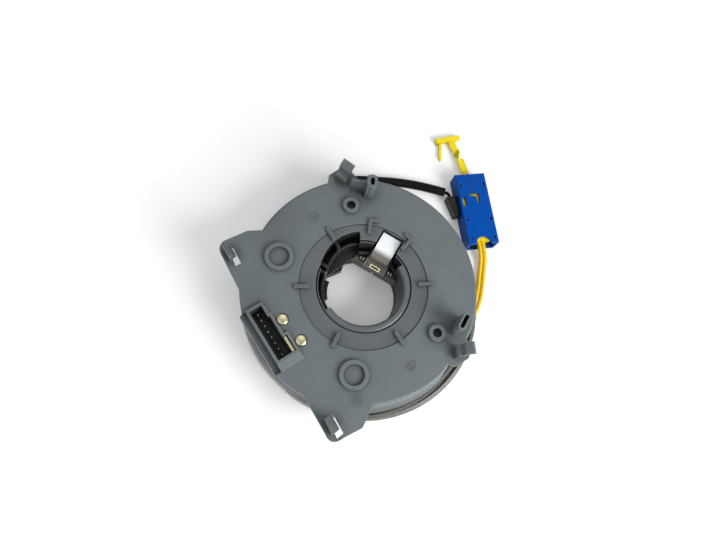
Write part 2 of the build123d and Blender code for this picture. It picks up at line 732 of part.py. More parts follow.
# ================================================================ leads
lead(sleeve_route, sleeve_radius, "black_sleeve", 5 * 2 * sleeve_radius)
entry_run, entry_height = wire_entry
whole_route = [
    *wire_route, at_lock(plug_start - entry_run, 0, entry_height), at_lock(plug_start, 0, entry_height),
]
wire_a_route = beside(whole_route, wire_spread)
wire_b_route = beside(whole_route, -wire_spread)
lead(wire_a_route, wire_radius, "yellow_wire_a", 5 * 2 * wire_radius)
lead(wire_b_route, wire_radius, "yellow_wire_b", 5 * 2 * wire_radius)
for label, rise in (("thin_wire_a", thin_rise), ("thin_wire_b", -thin_rise)):
    lead([(x, y, thin_height + rise) for x, y in thin_route], thin_radius, label, 3 * 2 * thin_radius)

with BuildPart() as sleeve_grommet:
    start, following = (Vector(*point) for point in sleeve_route[:2])
    with Locations(Plane(origin=start, z_dir=following - start)):
        Cone(
            sleeve_radius + grommet_wall, sleeve_radius + 0.4 * grommet_wall, grommet_length,
            align=(Align.CENTER, Align.CENTER, Align.MIN),
        )
        Cylinder(sleeve_radius + fit_gap, 3 * grommet_length, mode=Mode.SUBTRACT)
finish(sleeve_grommet.part, "sleeve_grommet")

with BuildPart() as wire_grommet:
    start, following = (Vector(*point) for point in wire_route[:2])
    across = Vector(*wire_a_route[0]) - Vector(*wire_b_route[0])
    exit_plane = Plane(origin=start, x_dir=across, z_dir=following - start)
    with BuildSketch(exit_plane):
        SlotCenterToCenter(across.length, 2 * (wire_radius + grommet_wall))
    extrude(amount=grommet_length, taper=4)
    with BuildSketch(exit_plane):
        SlotCenterToCenter(across.length, 2 * (wire_radius + fit_gap))
    extrude(amount=grommet_length, mode=Mode.SUBTRACT)
finish(wire_grommet.part, "wire_grommet")

# ================================================================ connectors on the leads
lock_plane = Plane(origin=(*lock_end, 0), x_dir=polar(1, lock_angle), z_dir=(0, 0, 1))
lock_inside = lock_width - 2 * lock_wall

with BuildPart() as lock_sleeve:
    with BuildSketch(lock_plane):
        with Locations((lock_length / 2, 0)):
            Rectangle(lock_length, lock_width)
    extrude(amount=lock_height)
    chamfer(lock_sleeve.edges().group_by(Axis.Z)[-1], 0.4)
    with BuildSketch(lock_plane.offset(lock_wall)):
        with Locations((lock_length / 2, 0)):
            Rectangle(lock_length + 2, lock_inside)
    extrude(amount=lock_height - 2 * lock_wall, mode=Mode.SUBTRACT)
    with BuildSketch(lock_plane.offset(lock_height - 2 * lock_wall)):
        Circle(notch_radius)
        with Locations(side_window_place):
            Rectangle(*side_window)
        with Locations(*[(u, side * v) for u, v in latch_places for side in (1, -1)]):
            Rectangle(*latch_hole)
        with BuildLine():
            Polyline(*bent_window, close=True)
        make_face()
    extrude(amount=2 * lock_wall + 1, mode=Mode.SUBTRACT)
finish(lock_sleeve.part, "lock_sleeve")

with BuildPart() as lead_plug:
    with BuildSketch(lock_plane.offset(lock_wall + lock_play)) as plug_outline:
        with Locations(((plug_start + plug_end) / 2, 0)):
            Rectangle(plug_end - plug_start, lock_inside - 2 * lock_play)
        chamfer(plug_outline.vertices(), 1.0)
    extrude(amount=lock_height - 2 * (lock_wall + lock_play))
finish(lead_plug.part, "lead_plug")

with BuildPart() as side_plug:
    with BuildSketch(lock_plane) as plug_outline:
        with BuildLine():
            Polyline(*side_plug_outline, close=True)
        make_face()
    extrude(amount=side_plug_height)
    chamfer(side_plug.edges().group_by(Axis.Z)[-1], 0.5)
finish(side_plug.part, "side_plug")

with BuildPart() as lock_key:
    with BuildLine(lock_plane):
        strap = Spline(*strap_path, tangents=((1, 0, 0), (1, 0, 0)))
    rings = []
    for step in range(strap_steps + 1):
        along = step / strap_steps
        forward = strap % along
        level = Vector(0, 0, 1).cross(forward)
        share = min(max((along - strap_twist_from) / (strap_twist_to - strap_twist_from), 0), 1)
        flat = Plane(origin=strap @ along, x_dir=level, z_dir=forward)
        section = flat.rotated((0, 0, strap_twist * share))
        rings.append([
            section.from_local_coords((a * strap_width / 2, b * strap_sheet / 2))
            for a, b in ((-1, -1), (1, -1), (1, 1), (-1, 1))
        ])
    # flat three-cornered faces, since the sides of a twisted strap aren't plane
    sides = [rings[0], rings[-1]]
    for lower, upper in zip(rings, rings[1:]):
        for here, following in zip(range(4), (1, 2, 3, 0)):
            sides.append([lower[here], lower[following], upper[following]])
            sides.append([lower[here], upper[following], upper[here]])
    add(Solid(Shell([Face(Wire.make_polygon(side)) for side in sides])))
    with BuildSketch(lock_plane):
        with Locations(key_bar_place):
            Rectangle(*key_bar[:2], rotation=key_bar_lean)
    extrude(amount=key_bar[2])
    with BuildSketch(lock_plane):
        with BuildLine():
            Polyline(
                (key_leg_foot, key_leg_side - key_leg[1] / 2), (key_leg_foot, key_leg_side + key_leg[1] / 2),
                (key_leg_foot - key_leg[0] + 1.5, key_leg_side + key_leg[1] / 2),
                (key_leg_foot - key_leg[0], key_leg_side),
                (key_leg_foot - key_leg[0] + 1.5, key_leg_side - key_leg[1] / 2), close=True,
            )
        make_face()
    extrude(amount=key_leg[2])
finish(lock_key.part, "lock_key")
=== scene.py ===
# %% [markdown]
# # A steering clock spring, dressed for its picture
#
# A clock spring sits behind the steering wheel of a car. Its lower half, the rotor, turns with the wheel,
# and its upper half, the stator, is clipped to the column. A flat cable coiled between the two carries
# the current, so that no wire is torn when the wheel is turned.
#
# The shapes come from CAD. This script gives every piece its finish, makes the leads as soft cords, adds
# the details that are too fine for CAD and the forms that the solids leave plain, and sets the camera and
# the lamps. Sizes are in millimetres, and MM turns them into Blender's metres.

# %% Load the frame
import json
import math

import bmesh
import bpy
import numpy as np
from mathutils import Matrix, Vector


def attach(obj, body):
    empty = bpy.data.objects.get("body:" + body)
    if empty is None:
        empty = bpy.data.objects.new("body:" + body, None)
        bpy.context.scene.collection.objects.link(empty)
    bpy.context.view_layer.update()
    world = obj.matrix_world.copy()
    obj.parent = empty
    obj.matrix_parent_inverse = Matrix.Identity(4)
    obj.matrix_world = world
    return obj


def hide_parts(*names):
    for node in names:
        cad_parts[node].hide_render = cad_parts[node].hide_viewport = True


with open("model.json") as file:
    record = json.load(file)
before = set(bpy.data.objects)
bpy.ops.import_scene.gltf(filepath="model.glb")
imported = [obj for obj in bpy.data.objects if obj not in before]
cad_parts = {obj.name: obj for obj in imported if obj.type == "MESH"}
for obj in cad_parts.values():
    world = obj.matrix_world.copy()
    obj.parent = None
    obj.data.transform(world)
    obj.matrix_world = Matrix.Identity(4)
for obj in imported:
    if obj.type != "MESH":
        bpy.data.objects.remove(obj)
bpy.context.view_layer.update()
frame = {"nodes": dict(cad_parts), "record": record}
nodes = frame["nodes"]
MM = 0.001
print("nodes", len(nodes))

# %% [markdown]
# ## The camera
#
# The camera stands above the part, a little to the socket's side, and looks down at it. Three angles
# describe it: which way it leans from straight down, by how much, and which way on the part is up in the
# picture. The three columns of a camera's matrix are its right, its up and its back.

# %% Camera
LEAN_TOWARDS = math.radians(212.57)
LEAN = math.radians(18.35)
PICTURE_UP = math.radians(56.77)
CAMERA_PLACE = Vector((-70.86, -39.99, 288.5)) * MM
LENS_MM = 27.42
NEAREST_SEEN = 0.01


def camera_matrix(place, towards, lean, picture_up):
    """Back points from the part to the camera, right is across back and the picture's up direction."""
    flat = math.sin(lean)
    back = Vector((flat * math.cos(towards), flat * math.sin(towards), math.cos(lean)))
    right = Vector((math.cos(picture_up), math.sin(picture_up), 0.0)).cross(back).normalized()
    turn = Matrix((right, back.cross(right), back)).transposed()
    return Matrix.Translation(place) @ turn.to_4x4()


camera_data = bpy.data.cameras.new("camera")
camera_data.lens = LENS_MM
camera_data.clip_start = NEAREST_SEEN
camera = bpy.data.objects.new("camera", camera_data)
camera.matrix_world = camera_matrix(CAMERA_PLACE, LEAN_TOWARDS, LEAN, PICTURE_UP)
bpy.context.scene.collection.objects.link(camera)
bpy.context.scene.camera = camera
print("camera at", [round(v, 4) for v in CAMERA_PLACE])

# %% [markdown]
# ## Shader building blocks
#
# Every finish on this part is made of nodes. A few small helpers keep the cells short: each adds one kind
# of node, and takes plain numbers or the outputs of other nodes as its inputs.

# %% Helpers that add nodes
def feed(tree, socket, value):
    """Links an output to a socket, or sets the socket when the value is a plain number or colour."""
    if isinstance(value, bpy.types.NodeSocket):
        tree.links.new(value, socket)
    else:
        socket.default_value = value


def add(tree, kind, settings=None, **inputs):
    """Adds a node, sets its properties from settings and feeds its inputs by name."""
    node = tree.nodes.new(kind)
    for name, value in (settings or {}).items():
        setattr(node, name, value)
    for name, value in inputs.items():
        wanted = name.replace("_", " ")
        feed(tree, next(s for s in node.inputs if s.name == wanted and s.enabled), value)
    return node


def maths(tree, operation, first, second=0.0, third=0.0, clamp=False):
    """One Math node, with numbers or outputs as its operands."""
    node = add(tree, "ShaderNodeMath", {"operation": operation, "use_clamp": clamp})
    for socket, value in zip(node.inputs, (first, second, third)):
        feed(tree, socket, value)
    return node.outputs[0]


def mix_colour(tree, share, low, high):
    """Mixes two colours: low where the share is 0 and high where it is 1."""
    node = add(tree, "ShaderNodeMix", {"data_type": "RGBA"})
    for number, value in ((0, share), (6, low), (7, high)):
        feed(tree, node.inputs[number], value)
    return node.outputs[2]


print("node helpers", [helper.__name__ for helper in (feed, add, maths, mix_colour)])

# %% [markdown]
# A node group is a tree of its own with named inputs and outputs, and a material starts as one Principled
# shader. Patterns are placed by the point's own place on its piece, so that they stay on the piece when
# it moves.

# %% Helpers that start trees and place patterns
def new_group(name, inputs, outputs):
    """Node group with named sockets; inputs maps a name to its socket type and starting value."""
    tree = bpy.data.node_groups.new(name, "ShaderNodeTree")
    for label, (kind, value) in inputs.items():
        socket = tree.interface.new_socket(label, in_out="INPUT", socket_type=kind)
        socket.default_value = value
    for label, kind in outputs.items():
        tree.interface.new_socket(label, in_out="OUTPUT", socket_type=kind)
    return tree, tree.nodes.new("NodeGroupInput").outputs, tree.nodes.new("NodeGroupOutput").inputs


def new_material(name):
    """Material with one Principled shader."""
    material = bpy.data.materials.new(name)
    material.use_nodes = True
    tree = material.node_tree
    return material, tree, tree.nodes["Principled BSDF"]


def own_place(tree):
    """The point's place on its piece, in metres."""
    return add(tree, "ShaderNodeTexCoord").outputs["Object"]


def own_xyz(tree):
    """The point's x, y and z on its piece, each as an output, in metres."""
    return add(tree, "ShaderNodeSeparateXYZ", Vector=own_place(tree)).outputs


def length_of(tree, x, y):
    """Length of a vector in plan, the root of x * x + y * y."""
    squares = maths(tree, "ADD", maths(tree, "MULTIPLY", x, x), maths(tree, "MULTIPLY", y, y))
    return maths(tree, "SQRT", squares)


def step_down(tree, value, start, end):
    """1 up to start and 0 from end on, smooth between: 1 - smoothstep(start, end, value)."""
    node = add(tree, "ShaderNodeMapRange", {"interpolation_type": "SMOOTHSTEP"}, Value=value)
    for label, number in (("From Min", start), ("From Max", end), ("To Min", 1.0), ("To Max", 0.0)):
        node.inputs[label].default_value = number
    return node.outputs["Result"]


print("materials at the start", len(bpy.data.materials))

# %% [markdown]
# ## Moulded plastic
#
# Nearly the whole part is moulded plastic. Real mouldings are never one flat grey: the colour drifts
# softly over centimetres, the surface has a very fine spark-eroded grain, and every edge has a small
# radius that catches the light. The group below gives all three to any plastic.
#
# - drift: a large soft noise that lightens and darkens the colour a little
# - cloud: a smaller noise that does the same more faintly, and changes the roughness
# - grain: a fine noise that changes the height
# - edge: the Bevel node gives the normal that a small edge radius would have; where that normal leaves
#   the flat one, there is an edge, and it is painted a trace lighter: a painted highlight for the light that
#   a rounded edge catches
# - corners: painted shade where walls meet: the share of open sky there darkens the colour.

# %% Group for moulded plastic
FLOAT, COLOUR, VECTOR = "NodeSocketFloat", "NodeSocketColor", "NodeSocketVector"
DRIFT_SCALE, CLOUD_SCALE, GRAIN_SCALE = 45.0, 260.0, 2600.0
CLOUD_SWING = 0.12
GRAIN = 0.1
EDGE_RADIUS, EDGE_GAIN = 0.0003, 6.0
# The edge colour below is a painted highlight: edges are lightened towards it as if they caught the light.
PAINTED_EDGE_HIGHLIGHT = (0.55, 0.58, 0.6, 1.0)
CORNER_REACH, CORNER_POWER = 0.007, 1.6
# The corner colour below is painted shade for where walls meet.
CORNER_PAINTED_SHADE = (0.006, 0.006, 0.006, 1.0)


def moulded_group():
    """Colour times 1 + drift + cloud, then lighter by 6 (1 - bevel . flat) as a painted highlight and darker
    by 1 - sky ^ 1.6 as painted shade.
    """
    tree, given, result = new_group(
        "moulded",
        {
            "Colour": (COLOUR, (0.13, 0.15, 0.17, 1.0)), "Drift": (FLOAT, 0.12),
            "Roughness": (FLOAT, 0.45), "Grain": (FLOAT, GRAIN), "Edge Radius": (FLOAT, EDGE_RADIUS),
            "Edge Light": (FLOAT, 0.25), "Corner Shade": (FLOAT, 0.75),
        },
        {"Colour": COLOUR, "Roughness": FLOAT, "Height": FLOAT, "Normal": VECTOR},
    )
    place = own_place(tree)
    drift = add(tree, "ShaderNodeTexNoise", Vector=place, Scale=DRIFT_SCALE, Detail=3.0, Roughness=0.55)
    grain = add(tree, "ShaderNodeTexNoise", Vector=place, Scale=GRAIN_SCALE, Detail=2.0, Roughness=0.6)
    cloud = add(tree, "ShaderNodeTexNoise", Vector=place, Scale=CLOUD_SCALE, Detail=4.0, Roughness=0.6)
    swing = maths(tree, "MULTIPLY_ADD", drift.outputs["Fac"], 2.0, -1.0)
    swing = maths(tree, "MULTIPLY", swing, given["Drift"])
    fine = maths(tree, "MULTIPLY_ADD", cloud.outputs["Fac"], CLOUD_SWING, -CLOUD_SWING / 2)
    value = maths(tree, "ADD", maths(tree, "ADD", swing, fine), 1.0)
    tinted = add(tree, "ShaderNodeHueSaturation", Value=value, Color=given["Colour"])

    rounded = add(tree, "ShaderNodeBevel", {"samples": 6}, Radius=given["Edge Radius"])
    turned_by = add(tree, "ShaderNodeVectorMath", {"operation": "DOT_PRODUCT"})
    tree.links.new(rounded.outputs[0], turned_by.inputs[0])
    tree.links.new(add(tree, "ShaderNodeNewGeometry").outputs["Normal"], turned_by.inputs[1])
    edge = maths(tree, "SUBTRACT", 1.0, turned_by.outputs["Value"])
    edge = maths(tree, "MULTIPLY", edge, EDGE_GAIN, clamp=True)
    lighter = maths(tree, "MULTIPLY", edge, given["Edge Light"])
    # Painted highlight: the colour itself is lightened at the edges.
    colour = mix_colour(tree, lighter, tinted.outputs[0], PAINTED_EDGE_HIGHLIGHT)

    # Painted shade: the colour itself is darkened in corners by the share of open sky.
    sky = add(tree, "ShaderNodeAmbientOcclusion", {"samples": 8}, Distance=CORNER_REACH)
    shut = maths(tree, "SUBTRACT", 1.0, maths(tree, "POWER", sky.outputs["AO"], CORNER_POWER))
    open_share = maths(tree, "SUBTRACT", 1.0, maths(tree, "MULTIPLY", shut, given["Corner Shade"]))
    colour = mix_colour(tree, open_share, CORNER_PAINTED_SHADE, colour)

    rough = maths(tree, "MULTIPLY_ADD", cloud.outputs["Fac"], CLOUD_SWING, given["Roughness"])
    tree.links.new(colour, result["Colour"])
    tree.links.new(maths(tree, "SUBTRACT", rough, CLOUD_SWING / 2), result["Roughness"])
    tree.links.new(maths(tree, "MULTIPLY", grain.outputs["Fac"], given["Grain"]), result["Height"])
    tree.links.new(rounded.outputs[0], result["Normal"])
    return tree


MOULDED = moulded_group()
print("group", MOULDED.name, "has", len(MOULDED.nodes), "nodes")

# %% [markdown]
# Each plastic places that group in a material of its own, with its own colour and gloss, its own strength
# of painted edge highlight and painted corner shade, and for some its marks. The bump is very shallow: it
# only breaks up the gloss, and the shapes themselves stay in the meshes.

# %% A moulded plastic finish
BUMP_STRENGTH, BUMP_DEPTH = 0.6, 0.00012


def plastic(name, colour, roughness=0.45, drift=0.12, edge_light=0.2, corner=0.75, specular=0.5, marks=None):
    """A moulded plastic finish: the group drives colour, roughness and bump of one shader.

    marks, when given, is called with the tree and the plain colour, and returns the colour to use and an
    output for the shine, or None to leave the shine alone.
    """
    material, tree, shader = new_material(name)
    moulded = tree.nodes.new("ShaderNodeGroup")
    moulded.node_tree = MOULDED
    for label, value in (
        ("Colour", (*colour, 1.0)), ("Drift", drift), ("Roughness", roughness), ("Grain", GRAIN),
        ("Edge Radius", EDGE_RADIUS), ("Edge Light", edge_light), ("Corner Shade", corner),
    ):
        moulded.inputs[label].default_value = value
    shader.inputs["Specular IOR Level"].default_value = specular
    if marks:
        marked, shine = marks(tree, (*colour, 1.0))
        tree.links.new(marked, moulded.inputs["Colour"])
        if shine:
            tree.links.new(shine, shader.inputs["Specular IOR Level"])
    bump = add(tree, "ShaderNodeBump", Strength=BUMP_STRENGTH, Distance=BUMP_DEPTH,
               Height=moulded.outputs["Height"], Normal=moulded.outputs["Normal"])
    tree.links.new(moulded.outputs["Colour"], shader.inputs["Base Color"])
    tree.links.new(moulded.outputs["Roughness"], shader.inputs["Roughness"])
    tree.links.new(bump.outputs[0], shader.inputs["Normal"])
    return material


print("bump depth", BUMP_DEPTH / MM, "mm")

# %% [markdown]
# ## Marks of use and painted shade
#
# The part has been used. Its face has a few fine scuffs and some darker, warmer patches, and the deep
# hollow of the hub is painted nearly black, as shade where no light reaches. All of these are masks worked
# out from the point's own place on the piece.
#
# - a dark patch is $1 - \mathrm{smoothstep}(0, R, d)$ of the distance $d$ to its middle, broken up by noise
# - a scuff is the same for the distance to a line from $a$ to $b$, whose nearest point is
#   $a + t(b - a)$ with $t = \mathrm{clamp}((p - a)\cdot(b - a) / |b - a|^2)$.

# %% Mask along a line
def line_mask(tree, x, y, start, end, reach):
    """Mask along a straight line in plan; a line of no length gives a round spot."""
    run = np.subtract(end, start)
    scale = 1.0 / max(float(run @ run), 1e-12)
    from_x = maths(tree, "SUBTRACT", x, float(start[0]))
    from_y = maths(tree, "SUBTRACT", y, float(start[1]))
    dot = maths(tree, "ADD", maths(tree, "MULTIPLY", from_x, float(run[0])),
                maths(tree, "MULTIPLY", from_y, float(run[1])))
    share = maths(tree, "MULTIPLY", dot, scale, clamp=True)
    off_x = maths(tree, "SUBTRACT", from_x, maths(tree, "MULTIPLY", share, float(run[0])))
    off_y = maths(tree, "SUBTRACT", from_y, maths(tree, "MULTIPLY", share, float(run[1])))
    return step_down(tree, length_of(tree, off_x, off_y), 0.0, reach)


print("mask helper", line_mask.__name__)

# %% [markdown]
# A dark patch is a dark, warm tint with a blotchy edge. The patches lie on the two moulded discs, at the
# ears and along the face's edge. A scuff is paler than the plastic, because the surface is torn open there,
# and it comes and goes along its line.

# %% Marks on the stator
# Each dark patch: x, y, reach, depth. Each scuff: x and y of its start, x and y of its end, reach, depth.
DARK_PATCHES = (
    (-33.6, -44.8, 5.5, 0.45), (-3.1, -45.4, 3.6, 0.55), (-2.4, 44.1, 4.0, 0.3), (-49.8, -46.7, 8.5, 0.45),
    (-47.6, 47.5, 8.0, 0.6), (-20.0, 52.0, 22.0, 0.3), (21.0, 53.0, 11.0, 0.45), (-52.0, 20.0, 16.0, 0.3),
)
SCUFFS = (
    (-39.4, 13.4, -34.0, 13.1, 0.35, 0.5), (-39.6, -14.5, -34.2, -13.9, 0.3, 0.4),
    (44.0, 14.5, 48.5, 12.0, 0.2, 0.3), (12.0, -47.0, 15.5, -49.5, 0.25, 0.3),
)
# Dark, warm tint of the darker patches on the face.
DARK_PATCH_TINT = (0.045, 0.042, 0.036, 1.0)
TORN_PLASTIC = (0.5, 0.52, 0.55, 1.0)


def stator_marks(tree, colour):
    """Plain colour, darker at the dark patches and lighter at the scuffs; the shine is left alone."""
    place = own_place(tree)
    x, y, _ = own_xyz(tree)
    blotch = add(tree, "ShaderNodeTexNoise", Vector=place, Scale=420.0, Detail=4.0, Roughness=0.65)
    broken = maths(tree, "MULTIPLY_ADD", blotch.outputs["Fac"], 1.2, 0.3)
    face_colour = colour
    for middle_x, middle_y, reach, depth in DARK_PATCHES:
        spot = (middle_x * MM, middle_y * MM)
        mask = maths(tree, "MULTIPLY", line_mask(tree, x, y, spot, spot, reach * MM), broken)
        face_colour = mix_colour(tree, maths(tree, "MULTIPLY", mask, depth, clamp=True), face_colour, DARK_PATCH_TINT)
    streaks = add(tree, "ShaderNodeTexNoise", Vector=place, Scale=1500.0, Detail=2.0)
    kept = step_down(tree, streaks.outputs["Fac"], 0.7, 0.4)
    for start_x, start_y, end_x, end_y, reach, depth in SCUFFS:
        mask = line_mask(tree, x, y, (start_x * MM, start_y * MM), (end_x * MM, end_y * MM), reach * MM)
        mask = maths(tree, "MULTIPLY", mask, kept)
        face_colour = mix_colour(tree, maths(tree, "MULTIPLY", mask, depth, clamp=True), face_colour, TORN_PLASTIC)
    return face_colour, None


print("smudges", len(DARK_PATCHES), "scuffs", len(SCUFFS))

# %% [markdown]
# The rotor's top is clean where the ring turns, but the hollow of the hub is painted dark as shade and
# is dull, and the skirt that shows under the stator has a warmer, dustier tone. Height and distance from
# the steering axis tell these three apart.

# %% Marks on the rotor
HOLLOW_DEEP, HOLLOW_TOP = 23.3, 25.4
HOLLOW_IN, HOLLOW_OUT = 28.5, 31.0
# The hollow's colour below is painted shade for the deep hub.
HOLLOW_PAINTED_SHADE = (0.03, 0.031, 0.03, 1.0)
HOLLOW_SHINE, PLAIN_SHINE = 0.08, 0.5
SKIRT_FROM, SKIRT_FULL = 54.0, 58.0
SKIRT_DUST = (0.115, 0.115, 0.095, 1.0)


def rotor_shade_and_dust(tree, colour):
    """Plain colour and shine on the ring, painted shade and less shine down in the hub, and a dusty tone on
    the skirt.
    """
    x, y, z = own_xyz(tree)
    across = length_of(tree, x, y)
    deep = maths(tree, "MULTIPLY", step_down(tree, z, HOLLOW_DEEP * MM, HOLLOW_TOP * MM),
                 step_down(tree, across, HOLLOW_IN * MM, HOLLOW_OUT * MM))
    shine = maths(tree, "MULTIPLY_ADD", deep, HOLLOW_SHINE - PLAIN_SHINE, PLAIN_SHINE)
    # Painted shade: the colour itself is darkened down in the hub's hollow.
    hollow = mix_colour(tree, deep, colour, HOLLOW_PAINTED_SHADE)
    skirt = maths(tree, "SUBTRACT", 1.0, step_down(tree, across, SKIRT_FROM * MM, SKIRT_FULL * MM))
    return mix_colour(tree, skirt, hollow, SKIRT_DUST), shine


print("the hollow is dark below", HOLLOW_DEEP, "mm")

# %% [markdown]
# The plastics themselves: two greys for stator and rotor, a warmer grey for the carrier, blacks for
# header and plug, and the strong blue and yellow of the connector. These two have little painted edge
# highlight, less painted corner shade and a low shine, so that their colour stays pure.

# %% Plastics by slot
finishes = {
    "housing_plastic": plastic("stator_grey", (0.122, 0.143, 0.15), 0.42, drift=0.14, edge_light=0.4,
                               marks=stator_marks),
    "rotor_plastic": plastic("rotor_grey", (0.098, 0.112, 0.118), 0.34, edge_light=0.5, marks=rotor_shade_and_dust),
    "carrier_plastic": plastic("carrier_grey", (0.16, 0.148, 0.115), 0.5),
    "header_plastic": plastic("header_black", (0.014, 0.014, 0.015), 0.5, edge_light=0.06),
    "black_plastic": plastic("plug_black", (0.01, 0.01, 0.01), 0.42, edge_light=0.08, specular=0.35),
    "blue_plastic": plastic("lock_blue", (0.0, 0.069, 0.37), 0.4, drift=0.06, edge_light=0.06, corner=0.6,
                            specular=0.08),
    "yellow_plastic": plastic("key_yellow", (0.95, 0.76, 0.012), 0.38, drift=0.1, edge_light=0.05,
                              corner=0.35, specular=0.25),
}
print("plastics", sorted(finishes))

# %% [markdown]
# ## Brass, tinned pins, film and rubber
#
# The few other finishes are short: metals with a fine rolled streak, the white film of the flat cable,
# and the soft black and yellow of the leads. In each, one noise drives everything: the tint runs between
# a darker share of the colour and the colour itself, and the same noise raises the surface a little.

# %% Metals, films and skins
# Painted shade on the film: full below the first height, gone above the second, in the colour below.
FILM_FULL_SHADE, FILM_WHITE = 20.0, 23.0
FILM_SHADE = (0.14, 0.13, 0.1, 1.0)


def tint_by(tree, noise, colour, darker):
    """Colour that runs with a noise from its darker share up to itself."""
    low = (*[darker * c for c in colour], 1.0)
    return mix_colour(tree, noise.outputs["Fac"], low, (*colour, 1.0))


def raise_by(tree, shader, noise, strength, depth):
    """Bump of the shader's surface by a noise, with its depth in metres."""
    bump = add(tree, "ShaderNodeBump", Strength=strength, Distance=depth, Height=noise.outputs["Fac"])
    tree.links.new(bump.outputs[0], shader.inputs["Normal"])


def roughen_by(tree, shader, noise, middle, swing):
    """Roughness middle - swing / 2 + swing times the noise."""
    rough = maths(tree, "MULTIPLY_ADD", noise.outputs["Fac"], swing, middle - swing / 2)
    tree.links.new(rough, shader.inputs["Roughness"])


def metal(name, colour, roughness, streak_across):
    """Rolled metal: a noise stretched along one direction changes roughness and tint."""
    material, tree, shader = new_material(name)
    stretched = add(tree, "ShaderNodeMapping", Vector=own_place(tree), Scale=streak_across)
    streak = add(tree, "ShaderNodeTexNoise", Vector=stretched.outputs[0], Scale=1.0, Detail=3.0)
    tree.links.new(tint_by(tree, streak, colour, 0.72), shader.inputs["Base Color"])
    roughen_by(tree, shader, streak, roughness, 0.2)
    raise_by(tree, shader, streak, 0.3, 0.00003)
    shader.inputs["Metallic"].default_value = 1.0
    return material


def film(name, colour, roughness):
    """Thin plastic film with a faint waviness; below the ring its colour is painted dark and brown as shade.
    """
    material, tree, shader = new_material(name)
    wave = add(tree, "ShaderNodeTexNoise", Vector=own_place(tree), Scale=220.0, Detail=2.0)
    # Painted shade: below the ring the film's colour turns dark and brown.
    low = step_down(tree, own_xyz(tree)[2], FILM_FULL_SHADE * MM, FILM_WHITE * MM)
    tint = mix_colour(tree, low, tint_by(tree, wave, colour, 0.93), FILM_SHADE)
    tree.links.new(tint, shader.inputs["Base Color"])
    raise_by(tree, shader, wave, 0.2, 0.0001)
    shader.inputs["Roughness"].default_value = roughness
    return material


def skin(name, colour, roughness, speck_scale, specular=0.5):
    """Soft skin of a lead, finely speckled."""
    material, tree, shader = new_material(name)
    speck = add(tree, "ShaderNodeTexNoise", Vector=own_place(tree), Scale=speck_scale, Detail=3.0)
    tree.links.new(tint_by(tree, speck, colour, 0.75), shader.inputs["Base Color"])
    roughen_by(tree, shader, speck, roughness, 0.16)
    raise_by(tree, shader, speck, 0.35, 0.0001)
    shader.inputs["Specular IOR Level"].default_value = specular
    return material


finishes["brass"] = metal("rolled_brass", (0.95, 0.86, 0.55), 0.26, (300.0, 4000.0, 300.0))
finishes["tin"] = metal("tinned", (0.62, 0.61, 0.58), 0.35, (900.0, 900.0, 300.0))
finishes["white_film"] = film("cable_film", (0.88, 0.89, 0.9), 0.38)
finishes["slip_film"] = film("slip_film", (0.6, 0.6, 0.58), 0.45)
finishes["black_sleeving"] = skin("sleeve_black", (0.003, 0.004, 0.003), 0.5, 900.0, 0.15)
finishes["yellow_wire"] = skin("wire_yellow", (0.95, 0.62, 0.012), 0.34, 500.0)
print("finishes", len(finishes))

# %% [markdown]
# ## Dressing the CAD pieces
#
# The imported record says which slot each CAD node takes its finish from, so the finish is looked up there
# and put on the node. Nothing is moved: a CAD node keeps its shape and place.

# %% Put the finishes on the nodes
slot_of = {entry["node"]: entry["material_slot"] for entry in frame["record"]["subparts"]}
for name, node in nodes.items():
    node.data.materials.clear()
    node.data.materials.append(finishes[slot_of[name]])
print("dressed", len(nodes), "nodes")

# %% [markdown]
# ## The leads
#
# A black sleeve with two thin wires, and two yellow wires side by side, leave the rotor and end in the
# plugs. Each route is a list of a few points, in the air from the rotor's outlet to the plug. The yellow
# twins share one route, moved to either side.

# %% Routes of the leads
SLEEVE_ROUTE = (
    (28.0, 61.8, 3.4), (34.0, 59.5, 3.4), (39.8, 56.5, 3.0), (46.4, 52.4, 2.6),
    (54.6, 47.0, 2.6), (63.3, 40.4, 2.6), (71.6, 32.25, 3.2), (77.53, 26.06, 3.2),
)
WIRE_ROUTE = (
    (42.5, -43.9, 5.1), (49.0, -40.9, 5.1), (55.9, -36.3, 4.6), (62.7, -30.4, 2.6),
    (68.0, -24.9, 1.6), (72.6, -19.6, 3.0), (74.84, -14.66, 5.0), (77.17, -9.68, 5.0),
)
THIN_ROUTE = ((77.53, 26.06), (78.47, 25.08), (78.96, 23.81), (78.91, 22.45), (78.34, 21.22))
SLEEVE_RADIUS, WIRE_RADIUS, THIN_RADIUS = 2.5, 1.15, 0.5
WIRE_SPREAD = 1.2
THIN_HEIGHT, THIN_RISE = 3.2, 0.8


def beside(route, shift):
    """Route moved sideways in plan by shift, each corner moved along its mitre."""
    points = np.array(route, dtype=float)
    runs = np.diff(points[:, :2], axis=0)
    runs /= np.linalg.norm(runs, axis=1, keepdims=True)
    mitre = np.vstack([runs[:1], runs]) + np.vstack([runs, runs[-1:]])
    mitre /= np.linalg.norm(mitre, axis=1, keepdims=True)
    reach = shift / np.sum(mitre * np.vstack([runs[:1], runs]), axis=1)
    points[:, 0] += mitre[:, 1] * reach
    points[:, 1] -= mitre[:, 0] * reach
    return points


print("route points", len(SLEEVE_ROUTE), len(WIRE_ROUTE), len(THIN_ROUTE))

# %% [markdown]
# Each lead is a NURBS curve. It is pulled towards the points without touching the inner ones, which gives
# the easy bends of a soft lead, and a round bevel gives it its thickness. A swept mesh would look the
# same, but a curve stays easy to bend. Each lead stands for its CAD node, which is hidden.

